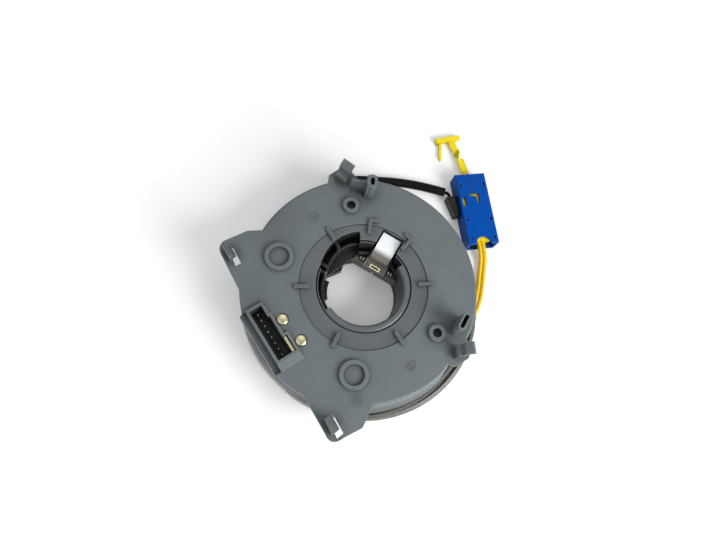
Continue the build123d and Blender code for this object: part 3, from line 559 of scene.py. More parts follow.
# %% Leads
def lead(name, route, radius, finish):
    """A soft lead: one open NURBS spline of order 3 with the route's points, in millimetres."""
    curve = bpy.data.curves.new(name, "CURVE")
    curve.dimensions = "3D"
    curve.bevel_depth = radius * MM
    curve.bevel_resolution = 6
    curve.resolution_u = 12
    curve.use_fill_caps = True
    spline = curve.splines.new("NURBS")
    spline.points.add(len(route) - 1)
    for point, place in zip(spline.points, np.asarray(route, dtype=float) * MM):
        point.co = (*place, 1.0)
    spline.order_u = 3
    spline.use_endpoint_u = True
    curve.materials.append(finish)
    piece = bpy.data.objects.new(name, curve)
    bpy.context.scene.collection.objects.link(piece)
    return piece


sleeve = lead("sleeve_lead", SLEEVE_ROUTE, SLEEVE_RADIUS, finishes["black_sleeving"])
wire_a = lead("wire_lead_a", beside(WIRE_ROUTE, WIRE_SPREAD), WIRE_RADIUS, finishes["yellow_wire"])
wire_b = lead("wire_lead_b", beside(WIRE_ROUTE, -WIRE_SPREAD), WIRE_RADIUS, finishes["yellow_wire"])
thin = {}
for letter, rise in (("a", THIN_RISE), ("b", -THIN_RISE)):
    route = [(x, y, THIN_HEIGHT + rise) for x, y in THIN_ROUTE]
    thin[letter] = lead(f"thin_lead_{letter}", route, THIN_RADIUS, finishes["black_sleeving"])
for piece, node, slot in (
    (sleeve, "black_sleeve", "black_sleeving"), (wire_a, "yellow_wire_a", "yellow_wire"),
    (wire_b, "yellow_wire_b", "yellow_wire"), (thin["a"], "thin_wire_a", "black_sleeving"),
    (thin["b"], "thin_wire_b", "black_sleeving"),
):
    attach(piece, "rotor")
    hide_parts(node)
beside(WIRE_ROUTE, WIRE_SPREAD)[0] * MM
beside(WIRE_ROUTE, -WIRE_SPREAD)[0] * MM
print("leads", [piece.name for piece in (sleeve, wire_a, wire_b, *thin.values())])

# %% [markdown]
# ## Closed forms
#
# Everything that is made here starts as an outline in plan. An outline is a row of points, worked out for
# all its points at once: a circle's arc is $(r\cos a, r\sin a)$, and a turned rectangle is its four corners
# times a turning matrix. Numpy does this with whole arrays, so no loop runs over the points.

# %% Outlines in plan
def polar(radius, angle):
    """Point in plan (r cos a, r sin a), the angle in degrees; arrays give a row for each."""
    turn = np.radians(angle)
    return np.stack((radius * np.cos(turn), radius * np.sin(turn)), axis=-1)


def turned(points, angle):
    """Plan points (u, v) turned about the origin: u (cos a, sin a) + v (-sin a, cos a)."""
    cosine, sine = polar(1.0, angle)
    return np.asarray(points, dtype=float) @ ((cosine, sine), (-sine, cosine))


def block(middle, along, across, angle):
    """Outline of a rectangle: its corners (+-along, +-across) / 2, turned by an angle, about a middle."""
    corners = np.array(((-1, -1), (1, -1), (1, 1), (-1, 1))) * (along / 2, across / 2)
    return turned(corners, angle) + middle


def oblong(middle, along, across, angle, steps=10):
    """Outline with round ends: a half circle of the width's radius at each end, turned by an angle."""
    end = polar(across / 2, np.linspace(-90.0, 90.0, steps)) + ((along - across) / 2, 0.0)
    return turned(np.vstack((end, -end)), angle) + middle


def pie(inner, outer, start, end, steps=40):
    """Outline of a sector between two radii; an inner radius of 0 makes it a wedge from the axis."""
    turns = np.linspace(start, end, steps)
    return np.vstack((polar(outer, turns), polar(inner, turns[::-1]) if inner else np.zeros((1, 2))))


print("a turned block:", block((0.0, 0.0), 2.0, 1.0, 30.0).round(3).tolist())

# %% [markdown]
# An outline becomes a closed form in one of two ways. A prism stands upright on it. A skin runs over a
# grid of points, whose rows follow each other along the form and whose every row is a loop round it; a
# turned form is such a grid, with $p = (x_0 + r\cos\varphi,\; y_0 + r\sin\varphi,\; z)$.

# %% Closed forms from outlines
def prism(outline, low, high):
    """Upright prism: the counter-clockwise outline at z = low and again at z = high, with its sides."""
    count = len(outline)
    points = np.vstack([np.column_stack((outline, np.full(count, z))) for z in (low, high)])
    j = np.arange(count)
    k = (j + 1) % count
    sides = np.stack((j, k, k + count, j + count), axis=-1).tolist()
    return points, [j[::-1].tolist(), (j + count).tolist(), *sides]


def skinned(grid, closed=False, halved=False):
    """Skin over a grid of rows along the form, each a loop, counter-clockwise seen from the row before.

    A closed form joins its last row to its first, and any other has both ends capped. A skin that twists
    has its four-cornered faces halved into triangles.
    """
    rows, count = grid.shape[:2]
    here = np.arange(rows if closed else rows - 1)[:, None] * count
    after = (here + count) % (rows * count)
    j = np.arange(count)
    k = (j + 1) % count
    faces = np.stack((here + j, after + j, after + k, here + k), axis=-1).reshape(-1, 4)
    if halved:
        faces = faces[:, ((0, 1, 3), (1, 2, 3))].reshape(-1, 3)
    caps = [] if closed else [j.tolist(), (j[::-1] + (rows - 1) * count).tolist()]
    return grid.reshape(-1, 3), faces.tolist() + caps


def lathed(middle, loop, steps=48, start=0.0, arc=360.0):
    """Turned form: the counter-clockwise loop of (r, z) points turned about an upright axis at a middle."""
    whole = arc >= 360.0
    turns = np.linspace(start, start + arc, steps, endpoint=not whole)[:, None]
    r, z = np.transpose(loop)
    flat = polar(r, turns) + middle
    return skinned(np.dstack((flat, np.broadcast_to(z, flat.shape[:2]))), whole)


def bar(start, end, width, low, high):
    """Upright bar over a straight run in plan, half its width past each end."""
    run = np.subtract(end, start)
    heading = math.degrees(math.atan2(run[1], run[0]))
    return prism(block(np.add(start, end) / 2, np.linalg.norm(run) + width, width, heading), low, high)


def together(parts):
    """Several closed forms as one: their points stacked, and their faces numbered on from each other."""
    points, faces, first = [], [], 0
    for own_points, own_faces in parts:
        points.append(own_points)
        faces += [[first + number for number in face] for face in own_faces]
        first += len(own_points)
    return np.vstack(points), faces


print("a prism has", len(prism(block((0.0, 0.0), 1.0, 1.0, 0.0), 0.0, 1.0)[1]), "faces")

# %% [markdown]
# A form then goes into a mesh, and gets its name, its finish and the body that it moves with, and where
# it stands for a CAD node, that node is hidden.

# %% From form to piece
def solid(points, faces):
    """Closed mesh in millimetres, as an object with no finish yet."""
    mesh = bpy.data.meshes.new("form")
    mesh.from_pydata((points * MM).tolist(), [], faces)
    form = bpy.data.objects.new("form", mesh)
    bpy.context.scene.collection.objects.link(form)
    return form


def placed(name, form, finish, body, instead_of=None):
    """Give a form its name, its finish, the body it moves with and the CAD node it stands for."""
    form.name = form.data.name = name
    form.data.materials.clear()
    form.data.materials.append(finish)
    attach(form, body)
    if instead_of:
        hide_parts(instead_of)
    print(name, "rides", body, "with", len(form.data.polygons), "faces")
    return form


# %% [markdown]
# ## Fine details
#
# A few things are too fine for the solids. Each of the two studs has a domed brass head, whose outline
# is turned about the stud's axis. The outline stays a hair's breadth off the axis: that leaves a hole far
# too fine to see, and no faces that shrink to nothing at the pole.

# %% Domes on the studs
FACE = 26.0
SUNK = 0.2
STUDS = ((-43.4, 6.5), (-41.2, -6.9))
DOME_RADIUS, DOME_FOOT, DOME_RISE, DOME_POLE = 2.7, -0.05, 0.75, 0.02

bow = np.linspace(0.0, 1.5, 10)
dome = np.column_stack((DOME_RADIUS * np.cos(bow), FACE + DOME_FOOT + DOME_RISE * np.sin(bow)))
dome = np.vstack(((DOME_POLE, FACE - SUNK), (DOME_RADIUS, FACE - SUNK), dome,
                  (DOME_POLE, FACE + DOME_FOOT + DOME_RISE)))
for number, middle in enumerate(STUDS):
    cap = placed(f"stud_dome_{number}", solid(*lathed(middle, dome)), finishes["brass"], "stator")
    cap.data.polygons.foreach_set("use_smooth", [True] * len(cap.data.polygons))

# %% [markdown]
# The face carries two moulded discs, as a mould's date stamps are: a fine raised rim, and a pointer that
# lies across the middle.

# %% Rims and pointers of the moulded discs
DISCS = ((-2.8, 44.6), (-2.8, -44.6))
RIM_IN, RIM_OUT, RIM_RISE = 2.9, 3.25, 0.02
POINTER_HALF, POINTER_WIDTH = np.array((1.4, 0.6)), 0.4

for number, middle in enumerate(DISCS):
    low, high = FACE - SUNK, FACE + RIM_RISE
    rim = [(RIM_IN, low), (RIM_OUT, low), (RIM_OUT, high), (RIM_IN, high)]
    pointer = bar(middle - POINTER_HALF, middle + POINTER_HALF, POINTER_WIDTH, low, FACE)
    for name, parts in ((f"dial_rim_{number}", lathed(middle, rim)), (f"dial_pointer_{number}", pointer)):
        placed(name, solid(*parts), finishes["housing_plastic"], "stator")

# %% [markdown]
# On the blue lock sleeve stands the raised outline of an arrow, which shows which way it slides. The
# arrow is drawn along and across the sleeve, and each of its sides is one small closed bar.

# %% Arrow on the lock sleeve
LOCK_END = np.array((75.9, -12.4))
LOCK_LEAN = 65.0
LOCK_TOP = 10.0
ARROW = ((42.0, 0.0), (37.0, 3.6), (37.0, 1.5), (31.9, 1.5), (31.9, -1.5), (37.0, -1.5), (37.0, -3.6))
ARROW_LINE, ARROW_SUNK, ARROW_RISE = 0.3, 0.1, 0.08


def at_lock(points):
    """Plan points given as (along, across) the lock sleeve, counted from its end at the wires."""
    return turned(points, LOCK_LEAN) + LOCK_END


corners = at_lock(ARROW)
sides = [bar(start, end, ARROW_LINE, LOCK_TOP - ARROW_SUNK, LOCK_TOP + ARROW_RISE)
         for start, end in zip(corners, np.roll(corners, -1, axis=0))]
placed("slide_arrow", solid(*together(sides)), plastic("arrow_blue", (0.0, 0.022, 0.13), 0.5, specular=0.1),
       "lock_sleeve")

# %% [markdown]
# ## Forms that the solids leave plain
#
# Some CAD nodes are plainer than the real pieces, so a closer form stands in for each. It is worked as on
# a bench: a blank is turned or sawn out of an outline, and further blanks are joined to it or cut away,
# which is a Boolean step. Each step is worked out at once, so the piece ends as one plain mesh. Where two
# ends met exactly, a step can leave two faces back to back with nothing between them, and they go too.

# %% The bench
JOIN, CUT = "UNION", "DIFFERENCE"
ABOVE = 45.0  # higher than anything that a cut runs out of
SHARP_FROM = math.radians(28.0)


def drop_flaps(mesh):
    """Take out faces that share all their corners with another face: they close off nothing."""
    worked = bmesh.new()
    worked.from_mesh(mesh)
    by_corners = {}
    for face in worked.faces:
        by_corners.setdefault(frozenset(face.verts), []).append(face)
    flaps = [face for faces in by_corners.values() if len(faces) > 1 for face in faces]
    bmesh.ops.delete(worked, geom=flaps, context="FACES")
    worked.to_mesh(mesh)
    worked.free()


def shaped(base, *steps):
    """Join forms to the base or cut them away, in turn; each step is a word and a form's points and faces."""
    for word, parts in steps:
        tool = solid(*parts)
        change = base.modifiers.new("step", "BOOLEAN")
        change.operation, change.solver, change.object = word, "EXACT", tool
        bpy.context.view_layer.update()
        graph = bpy.context.evaluated_depsgraph_get()
        worked = bpy.data.meshes.new_from_object(base.evaluated_get(graph), depsgraph=graph)
        base.modifiers.clear()
        base.data = worked
        bpy.data.objects.remove(tool)
    drop_flaps(base.data)
    base.data.polygons.foreach_set("use_smooth", [True] * len(base.data.polygons))
    base.data.set_sharp_from_angle(angle=SHARP_FROM)
    return base


print("edges are sharp from", round(math.degrees(SHARP_FROM)), "degrees on")

# %% [markdown]
# ## Retainer ring
#
# The ring holds the rotor in the stator's face. Its bore is round but for one side, where it widens in a
# spiral for the flat cable. The spiral is a smooth curve $r(\varphi)$, fitted by least squares through a
# few points, and the ring and the hub both use it, moved in or out.

# %% The spiral edge
SPIRAL = np.array(((24.2, 126.0), (24.9, 115.0), (26.4, 101.6), (27.9, 90.0), (28.5, 77.0), (28.9, 61.0)))
SPIRAL_FIT = np.polyfit(SPIRAL[:, 1], SPIRAL[:, 0], 3)
SPIRAL_ENDS = (61.0, 126.0)


def widening(shift, inner, past=0.0):
    """Outline inside the spiral r(a) + shift, held level past its end and closed by a chord nearer in."""
    turns = np.linspace(SPIRAL_ENDS[0], SPIRAL_ENDS[1] + past, 30)
    radii = np.polyval(SPIRAL_FIT, np.minimum(turns, SPIRAL_ENDS[1])) + shift
    return np.vstack((polar(radii, turns), polar(inner, turns[[-1, 0]])))


print("the bore widens to", widening(0.0, 0.0).max().round(2), "mm")

# %% [markdown]
# Seven tabs stand on the ring, each a low foot and a flat arm that reaches over the stator's edge. Two of
# the arms, on either side of the cable's window, end in a hook to the side. Foot, arm and hook differ a
# little in width and height, because a Boolean step is surest where no two faces lie in one plane.

# %% Ring
RING_IN, RING_OUT = 24.3, 32.7
RING_UNDER, RING_TOP, RING_EDGE = 23.1, 25.5, 0.2
TAB_ANGLES = (90.0, 150.0, 210.0, 270.0, 330.0, 12.3, 51.5)
HOOK_SIDES = {12.3: 1, 51.5: -1}
FOOT_REACH, FOOT_LONG, FOOT_WIDE, FOOT_UNDER, FOOT_TOP = 30.15, 5.0, 1.6, 25.2, 27.0
ARM_REACH, ARM_LONG, ARM_WIDE, ARM_UNDER, ARM_TOP = 31.3, 7.4, 1.7, 26.3, 27.2
HOOK_REACH, HOOK_LONG, HOOK_SHIFT, HOOK_UNDER, HOOK_TOP = 35.0, 5.4, 1.875, 26.34, 27.16
WINDOW_ANGLE, WINDOW_LONG, WINDOW_WIDE = 27.5, 32.0, 12.2
RING_CHORD = 22.2
RING_CUT = (20.0, 30.0)
ROUND_STEPS = 144


def tab(angle):
    """Foot and arm of a tab at an angle, as two joining steps."""
    foot = block(polar(FOOT_REACH, angle), FOOT_LONG, FOOT_WIDE, angle)
    arm = block(polar(ARM_REACH, angle), ARM_LONG, ARM_WIDE, angle)
    return [(JOIN, prism(foot, FOOT_UNDER, FOOT_TOP)), (JOIN, prism(arm, ARM_UNDER, ARM_TOP))]


def hook(angle, side):
    """Hook across the end of an arm, moved to one side of it."""
    middle = polar(HOOK_REACH, angle) + side * HOOK_SHIFT * polar(1.0, angle + 90.0)
    return JOIN, prism(block(middle, ARM_WIDE, HOOK_LONG, angle), HOOK_UNDER, HOOK_TOP)


rotor_finish = finishes[slot_of["rotor_hub"]]
ring_loop = [(RING_IN, RING_UNDER), (RING_OUT, RING_UNDER), (RING_OUT, RING_TOP - RING_EDGE),
             (RING_OUT - RING_EDGE, RING_TOP), (RING_IN, RING_TOP)]
window = block(polar(WINDOW_LONG / 2, WINDOW_ANGLE), WINDOW_LONG, WINDOW_WIDE, WINDOW_ANGLE)
ring = shaped(
    solid(*lathed((0.0, 0.0), ring_loop, ROUND_STEPS)),
    (CUT, prism(window, *RING_CUT)),
    (CUT, prism(widening(0.0, RING_CHORD), *RING_CUT)),
    *[step for angle in TAB_ANGLES for step in tab(angle)],
    *[hook(angle, side) for angle, side in HOOK_SIDES.items()],
)
placed("ring_form", ring, rotor_finish, "rotor", "retainer_ring")

# %% [markdown]
# ## Rotor hub
#
# The hub is a turned form: a thick rounded lip on one half of its top, and on the other half a thin
# collar, because a cut takes the lip away there. A flange below the top runs under the ring. Under the
# ring's spiral lies a channel of the same shape, with two webs across it, and low in the bore sit a
# wedge-shaped lug and a curved rib. Last, the way for the flat cable's carrier is cut.

# %% Hub
HUB_BORE, HUB_OUT, HUB_FOOT, HUB_WALL = 20.0, 24.2, 3.0, 1.4
GROOVE_TOP = 11.6
FLANGE_OUT, FLANGE_UNDER = 26.2, 21.5
LIP_RADIUS, LIP_MIDDLE = 1.8, 23.8
OPEN_SIDE = (-3.0, 181.0)
THIN_IN, SHELF_OUT, SHELF_TOP = 23.1, 21.2, 17.0
CHANNEL_FLOOR, CHANNEL_WALL, CHANNEL_LAP = 13.0, 0.6, 2.5
INNER_OUT, INNER_IN, INNER_TOP = -3.6, -4.5, 18.0
WALL_CHORD, INNER_CHORD, CUT_CHORD = 20.5, 20.2, 19.0
BITE = 0.5
WEBS = ((26.2, 88.0), (23.2, 118.0))
WEB_LONG, WEB_THICK, WEB_TOP = 4.0, 1.3, 22.4
LUG_REACHES, LUG_TURNS = np.array((16.0, 20.6, 20.6)), (94.5, 78.0, 123.0)
RIB = (17.3, 20.5, 126.0, 157.0)
LUG_LOW, LUG_HIGH = 4.0, 8.5
CARRIER_WAY_LONG, CARRIER_WAY_WIDE, CARRIER_WAY_FLOOR = 19.4, 13.0, 12.5


def quarter(middle, start, steps=7):
    """Quarter of the lip's round as (r, z) points: middle + radius (cos a, sin a) from a start angle."""
    return polar(LIP_RADIUS, np.linspace(start, start + 90.0, steps)) + middle


hub_loop = np.vstack((
    [(HUB_BORE, HUB_FOOT), (HUB_BORE + HUB_WALL, HUB_FOOT), (HUB_BORE + HUB_WALL, GROOVE_TOP),
     (HUB_OUT - HUB_WALL, GROOVE_TOP), (HUB_OUT - HUB_WALL, HUB_FOOT), (HUB_OUT, HUB_FOOT),
     (HUB_OUT, FLANGE_UNDER), (FLANGE_OUT, FLANGE_UNDER), (FLANGE_OUT, RING_UNDER), (HUB_OUT, RING_UNDER)],
    quarter((HUB_OUT - LIP_RADIUS, LIP_MIDDLE), 0.0), quarter((HUB_BORE + LIP_RADIUS, LIP_MIDDLE), 90.0),
))
hub = shaped(
    solid(*lathed((0.0, 0.0), hub_loop, ROUND_STEPS)),
    (CUT, prism(pie(0.0, THIN_IN, *OPEN_SIDE), SHELF_TOP, ABOVE)),
    (CUT, prism(pie(SHELF_OUT, THIN_IN, *OPEN_SIDE), CHANNEL_FLOOR, ABOVE)),
    (JOIN, prism(widening(CHANNEL_WALL, WALL_CHORD, CHANNEL_LAP), CHANNEL_FLOOR - HUB_WALL, RING_UNDER)),
    (CUT, prism(widening(0.0, CUT_CHORD), CHANNEL_FLOOR, ABOVE)),
    (JOIN, prism(widening(INNER_OUT, INNER_CHORD), CHANNEL_FLOOR - BITE, INNER_TOP)),
    (CUT, prism(widening(INNER_IN, CUT_CHORD), CHANNEL_FLOOR - BITE, ABOVE)),
    *[(JOIN, prism(block(polar(reach, angle), WEB_LONG, WEB_THICK, angle), CHANNEL_FLOOR - BITE, WEB_TOP))
      for reach, angle in WEBS],
    (JOIN, prism(polar(LUG_REACHES, LUG_TURNS), LUG_LOW, LUG_HIGH)),
    (JOIN, prism(pie(*RIB), LUG_LOW, LUG_HIGH)),
    (CUT, prism(block(polar(HUB_OUT, WINDOW_ANGLE), CARRIER_WAY_LONG, CARRIER_WAY_WIDE, WINDOW_ANGLE),
                CARRIER_WAY_FLOOR, ABOVE)),
)
placed("hub_form", hub, rotor_finish, "rotor", "rotor_hub")

# %% [markdown]
# ## Rotor disc
#
# The disc closes the chamber from below, and its skirt shows under the stator's wall. The skirt leans in
# towards its rounded top. On one side it swells into a duct for the cable, which is a second turned form
# about an axis of its own, over part of a turn. Two blocks hold the outlets of the leads, each set
# square to its lead's first stretch, and a pocket lets the yellow wires out.

# %% Disc
DISC_LOOP = (
    (19.8, 0.0), (27.0, 0.0), (28.0, 0.6), (56.1, 0.6), (57.1, 0.0), (61.5, 0.0), (62.3, 0.8),
    (62.3, 2.4), (62.1, 7.8), (61.95, 9.2), (61.5, 10.6), (60.7, 11.6), (58.5, 11.6), (58.9, 3.0),
    (22.7, 3.0), (22.7, 8.0), (21.5, 8.0), (21.5, 3.0), (19.8, 3.0),
)
DUCT_LOOP = ((59.3, 0.6), (60.7, 0.2), (61.5, 0.8), (61.5, 8.4), (60.6, 9.5), (59.3, 9.8))
DUCT_OFF, DUCT_TOWARDS, DUCT_START, DUCT_ARC = 4.2, -88.0, -163.0, 150.0
OUTLET_LONG, OUTLET_WIDE, OUTLET_HIGH = 5.6, 10.6, 6.7
OUTLET_BACK, OUTLET_INWARD = 2.8, 2.2
POCKET_LONG, POCKET_WIDE, POCKET_LOW, POCKET_HIGH = 22.0, 8.0, 3.0, 9.0
DISC_STEPS, DUCT_STEPS = 180, 90


def way_out(route):
    """Start of a route in plan, its first direction as a unit vector, and that direction in degrees."""
    run = np.subtract(route[1], route[0])[:2]
    return np.array(route[0][:2]), run / np.linalg.norm(run), math.degrees(math.atan2(run[1], run[0]))


def outlet(route):
    """Block behind a route's start, drawn towards the steering axis."""
    start, ahead, heading = way_out(route)
    inward = np.array((-ahead[1], ahead[0]))
    inward *= -np.sign(start @ inward)
    middle = start - ahead * OUTLET_BACK + inward * OUTLET_INWARD
    return JOIN, prism(block(middle, OUTLET_LONG, OUTLET_WIDE, heading), 0.0, OUTLET_HIGH)


wire_start, wire_ahead, wire_heading = way_out(WIRE_ROUTE)
pocket_middle = wire_start + wire_ahead * POCKET_LONG / 2
disc = shaped(
    solid(*lathed((0.0, 0.0), DISC_LOOP, DISC_STEPS)),
    (JOIN, lathed(polar(DUCT_OFF, DUCT_TOWARDS), DUCT_LOOP, DUCT_STEPS, DUCT_START, DUCT_ARC)),
    (CUT, prism(block(pocket_middle, POCKET_LONG, POCKET_WIDE, wire_heading), POCKET_LOW, POCKET_HIGH)),
    outlet(SLEEVE_ROUTE),
    outlet(WIRE_ROUTE),
)
placed("disc_form", disc, rotor_finish, "rotor", "rotor_disc")

# %% [markdown]
# ## Lock key
#
# The yellow key hangs loose at the connector's end, on a flat strap that makes half a turn on its way. The
# strap is a strip whose frame turns about its own line: the strip's width lies along
# $w = \cos\tau\, s + \sin\tau\, n$, with the level side $s$, the upright $n$ and the twist $\tau$, which
# grows from 0 to half a turn over the strap's middle. A bar and a leg are joined to it.

# %% Key
STRAP_PATH = np.array((
    (40.0, 0.0, 3.8), (46.5, 0.1, 3.6), (52.3, 0.6, 3.3), (56.6, 1.3, 3.0), (60.8, 2.0, 2.6),
    (64.3, 3.2, 2.2), (69.8, 4.0, 1.7),
))
STRAP_WIDTH, STRAP_SHEET = 4.0, 1.2
TWIST_FROM, TWIST_TO = 0.42, 0.72
BAR_MIDDLE, BAR_LEAN = (70.1, 6.0), LOCK_LEAN + 6.3
BAR_LONG, BAR_WIDE, BAR_HIGH = 15.0, 2.8, 3.2
LEG = ((68.9, 9.75), (68.9, 11.45), (58.4, 13.35), (56.9, 12.5), (58.4, 11.65))
LEG_HIGH = 2.0


def strap(steps=40):
    """Strip along a smooth line, its corners line +- w width / 2 +- t sheet / 2 with w and t twisting."""
    share = np.linspace(0.0, 1.0, len(STRAP_PATH))
    dense = np.linspace(0.0, 1.0, steps)
    line = np.column_stack([np.polyval(np.polyfit(share, values, 4), dense) for values in STRAP_PATH.T])
    line = np.column_stack((at_lock(line[:, :2]), line[:, 2]))
    ahead = np.gradient(line, axis=0)
    ahead /= np.linalg.norm(ahead, axis=1)[:, None]
    level = np.column_stack((-ahead[:, 1], ahead[:, 0], np.zeros(steps)))
    level /= np.linalg.norm(level, axis=1)[:, None]
    upright = np.cross(ahead, level)
    twist = math.pi * np.clip((dense - TWIST_FROM) / (TWIST_TO - TWIST_FROM), 0.0, 1.0)[:, None]
    wide = (np.cos(twist) * level + np.sin(twist) * upright) * STRAP_WIDTH / 2
    thick = (np.cos(twist) * upright - np.sin(twist) * level) * STRAP_SHEET / 2
    rows = [line + a * wide + b * thick for a, b in ((-1, -1), (-1, 1), (1, 1), (1, -1))]
    return skinned(np.stack(rows, axis=1), halved=True)


key = shaped(
    solid(*prism(block(at_lock(BAR_MIDDLE), BAR_WIDE, BAR_LONG, BAR_LEAN), 0.0, BAR_HIGH)),
    (JOIN, strap()),
    (JOIN, prism(at_lock(LEG), 0.0, LEG_HIGH)),
)
placed("key_form", key, finishes[slot_of["lock_key"]], "rotor", "lock_key")

# %% [markdown]
# ## Slotted post
#
# Beside the upper clip stands a post with round ends and a slot down its middle. The solid has only its
# two prongs, and this post closes round them: a blank with round ends, with a slimmer one cut out of it
# down to the post's floor.

# %% Post
POST_MIDDLE, POST_LEAN = (29.86, 41.1), 54.0
POST_LONG, POST_WIDE, POST_HIGH = 7.3, 5.3, 13.8
POST_SLOT_LONG, POST_SLOT_WIDE, POST_SLOT_FLOOR = 4.3, 2.1, 1.5
POST_ROOT = 0.3

post = shaped(
    solid(*prism(oblong(POST_MIDDLE, POST_LONG, POST_WIDE, POST_LEAN), FACE - POST_ROOT, FACE + POST_HIGH)),
    (CUT, prism(oblong(POST_MIDDLE, POST_SLOT_LONG, POST_SLOT_WIDE, POST_LEAN), FACE + POST_SLOT_FLOOR,
                ABOVE)),
)
placed("post_form", post, finishes[slot_of["stator_housing"]], "stator")

# %% [markdown]
# ## Housing with its ears and clips trued
#
# The housing's ears and clips stand a little off their places in the solid. A copy of its mesh is drawn
# to them as clay would be: each pull moves what lies near its centre $c$ by $d\,e^{-(|p - c| / R)^2}$ in
# plan, with the move $d$ and the reach $R$, and fades out softly. The clips are drawn down to their
# height. Making the whole housing anew would lose the fine work that the solid has.

# %% Housing
# Each pull: x and y of its centre, its move in x and in y, its reach.
PULLS = (
    (-57.0, -58.0, -3.3, -2.4, 7.5), (-38.0, -57.0, -1.6, -1.8, 6.0), (-55.0, 52.0, 0.5, 0.0, 8.0),
    (-37.0, 55.5, 1.4, -1.0, 6.0), (-50.6, 47.3, 1.4, 0.2, 8.0), (21.0, -58.0, -0.9, 2.7, 8.5),
)
CLIP_FEET = ((20.6, 54.2), (20.6, -54.2))
CLIP_SPAN, CLIP_SHARE = 10.0, 11.5 / 13.0


def apart(places, x, y):
    """Distance in plan of every place from one point."""
    return np.hypot(places[:, 0] - x, places[:, 1] - y)


housing_mesh = nodes["stator_housing"].data.copy()
places = np.empty(len(housing_mesh.vertices) * 3)
housing_mesh.vertices.foreach_get("co", places)
places = places.reshape(-1, 3) / MM
trued = places.copy()
for centre_x, centre_y, move_x, move_y, reach in PULLS:
    fade = np.exp(-(apart(places, centre_x, centre_y) / reach) ** 2)
    trued[:, :2] += fade[:, None] * (move_x, move_y)
for foot in CLIP_FEET:
    clip = (apart(places, *foot) < CLIP_SPAN) & (places[:, 2] > FACE)
    trued[clip, 2] = FACE + (places[clip, 2] - FACE) * CLIP_SHARE
housing_mesh.vertices.foreach_set("co", (trued * MM).ravel())
housing_mesh.update()
housing = bpy.data.objects.new("housing_form", housing_mesh)
bpy.context.scene.collection.objects.link(housing)
placed("housing_form", housing, finishes[slot_of["stator_housing"]], "stator",
       "stator_housing")
print("the housing moved by up to", np.linalg.norm(trued - places, axis=1).max().round(2), "mm")

# %% [markdown]
# ## Pale frame in the carrier
#
# Round the slot in the contact carrier runs a small pale metal frame. It is a flat block with an opening
# cut through, and it lies square to the carrier's way.

# %% Slot frame
SLOT_MIDDLE = polar(14.0, WINDOW_ANGLE)
SLOT_FRAME_LONG, SLOT_FRAME_WIDE, SLOT_LONG, SLOT_WIDE = 5.9, 2.1, 4.5, 1.0
SLOT_FRAME_UNDER, SLOT_FRAME_TOP = 15.9, 16.35
SLOT_CUT = (15.0, 17.0)

slot_frame = shaped(
    solid(*prism(block(SLOT_MIDDLE, SLOT_FRAME_WIDE, SLOT_FRAME_LONG, WINDOW_ANGLE), SLOT_FRAME_UNDER,
                 SLOT_FRAME_TOP)),
    (CUT, prism(block(SLOT_MIDDLE, SLOT_WIDE, SLOT_LONG, WINDOW_ANGLE), *SLOT_CUT)),
)
placed("slot_frame", slot_frame, finishes["brass"], "rotor")

# %% [markdown]
# ## Floor
#
# The part lies on a plain white table under soft light. The table is a large flat sheet. Its colour is
# pale, and a little light of its own, seen only by the camera and in reflections, makes it white while it
# still takes the part's shadow. That light grows a little with the distance from the part.

# %% Table
TABLE_HALF, TABLE_UNDER = 3.0, 0.00002
TABLE_WHITE, TABLE_ROUGHNESS = (0.92, 0.915, 0.9, 1.0), 0.6
GLOW_NEAR, GLOW_MORE = 0.15, 0.16
GLOW_FROM, GLOW_FULL = 0.09, 0.24


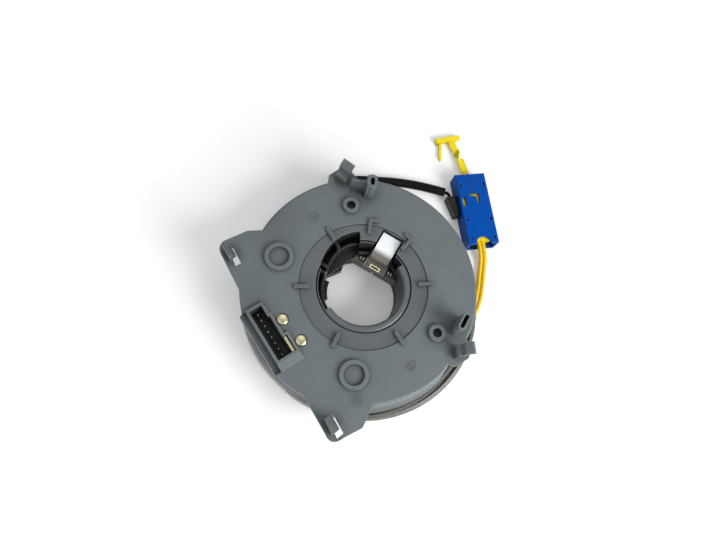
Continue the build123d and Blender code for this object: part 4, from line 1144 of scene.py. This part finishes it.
def table_finish():
    """White, with a glow of 0.15 + 0.16 smoothstep(distance) for camera and glossy rays alone."""
    material, tree, shader = new_material("table_white")
    shader.inputs["Base Color"].default_value = TABLE_WHITE
    shader.inputs["Roughness"].default_value = TABLE_ROUGHNESS
    seen = add(tree, "ShaderNodeLightPath")
    both = maths(tree, "MAXIMUM", seen.outputs["Is Camera Ray"], seen.outputs["Is Glossy Ray"])
    x, y, _ = own_xyz(tree)
    beyond = maths(tree, "SUBTRACT", 1.0, step_down(tree, length_of(tree, x, y), GLOW_FROM, GLOW_FULL))
    strength = maths(tree, "MULTIPLY", both, maths(tree, "MULTIPLY_ADD", beyond, GLOW_MORE, GLOW_NEAR))
    glow = add(tree, "ShaderNodeEmission", Color=(1.0, 1.0, 1.0, 1.0), Strength=strength)
    total = tree.nodes.new("ShaderNodeAddShader")
    tree.links.new(shader.outputs[0], total.inputs[0])
    tree.links.new(glow.outputs[0], total.inputs[1])
    tree.links.new(total.outputs[0], tree.nodes["Material Output"].inputs["Surface"])
    return material


table_mesh = bpy.data.meshes.new("floor")
table_outline = block((0.0, 0.0), 2 * TABLE_HALF, 2 * TABLE_HALF, 0.0)
table_mesh.from_pydata([(x, y, -TABLE_UNDER) for x, y in table_outline], [], [(0, 1, 2, 3)])
table_mesh.materials.append(table_finish())
floor = bpy.data.objects.new("floor", table_mesh)
bpy.context.scene.collection.objects.link(floor)
print("table", 2 * TABLE_HALF, "m wide")

# %% [markdown]
# ## Lamps and sky
#
# The light is that of a room with large windows: a pale, even sky from all round, one nearer lamp at the
# side that gives the shadows their direction, and three weak ones that open the shadows up. Each lamp is
# a square sheet of light that faces the part, because a large sheet gives soft shadows. All stay weak
# enough that a colour renders about as it is written.

# %% Lamps and sky
SKY_COLOUR, SKY_STRENGTH = (0.93, 0.96, 1.0, 1.0), 0.42
# Each lamp: place and size in metres, power in watts.
LAMPS = {
    "key": ((0.16, -0.42, 0.34), 0.3, 3.1), "fill": ((-0.6, 0.1, 0.8), 0.8, 0.8),
    "top": ((0.3, 0.35, 0.8), 0.6, 0.8), "side": ((-0.42, -0.22, 0.1), 0.25, 0.9),
}

world = bpy.data.worlds.new("studio")
bpy.context.scene.world = world
world.use_nodes = True
world.node_tree.nodes["Background"].inputs["Color"].default_value = SKY_COLOUR
world.node_tree.nodes["Background"].inputs["Strength"].default_value = SKY_STRENGTH
for name, (place, size, watts) in LAMPS.items():
    light = bpy.data.lights.new(name, "AREA")
    light.shape = "SQUARE"
    light.size = size
    light.energy = watts
    lamp = bpy.data.objects.new(name, light)
    lamp.location = place
    lamp.rotation_euler = Vector(place).to_track_quat("Z", "Y").to_euler()
    bpy.context.scene.collection.objects.link(lamp)
bpy.context.scene.view_settings.view_transform = "Standard"
print("lamps", list(LAMPS))
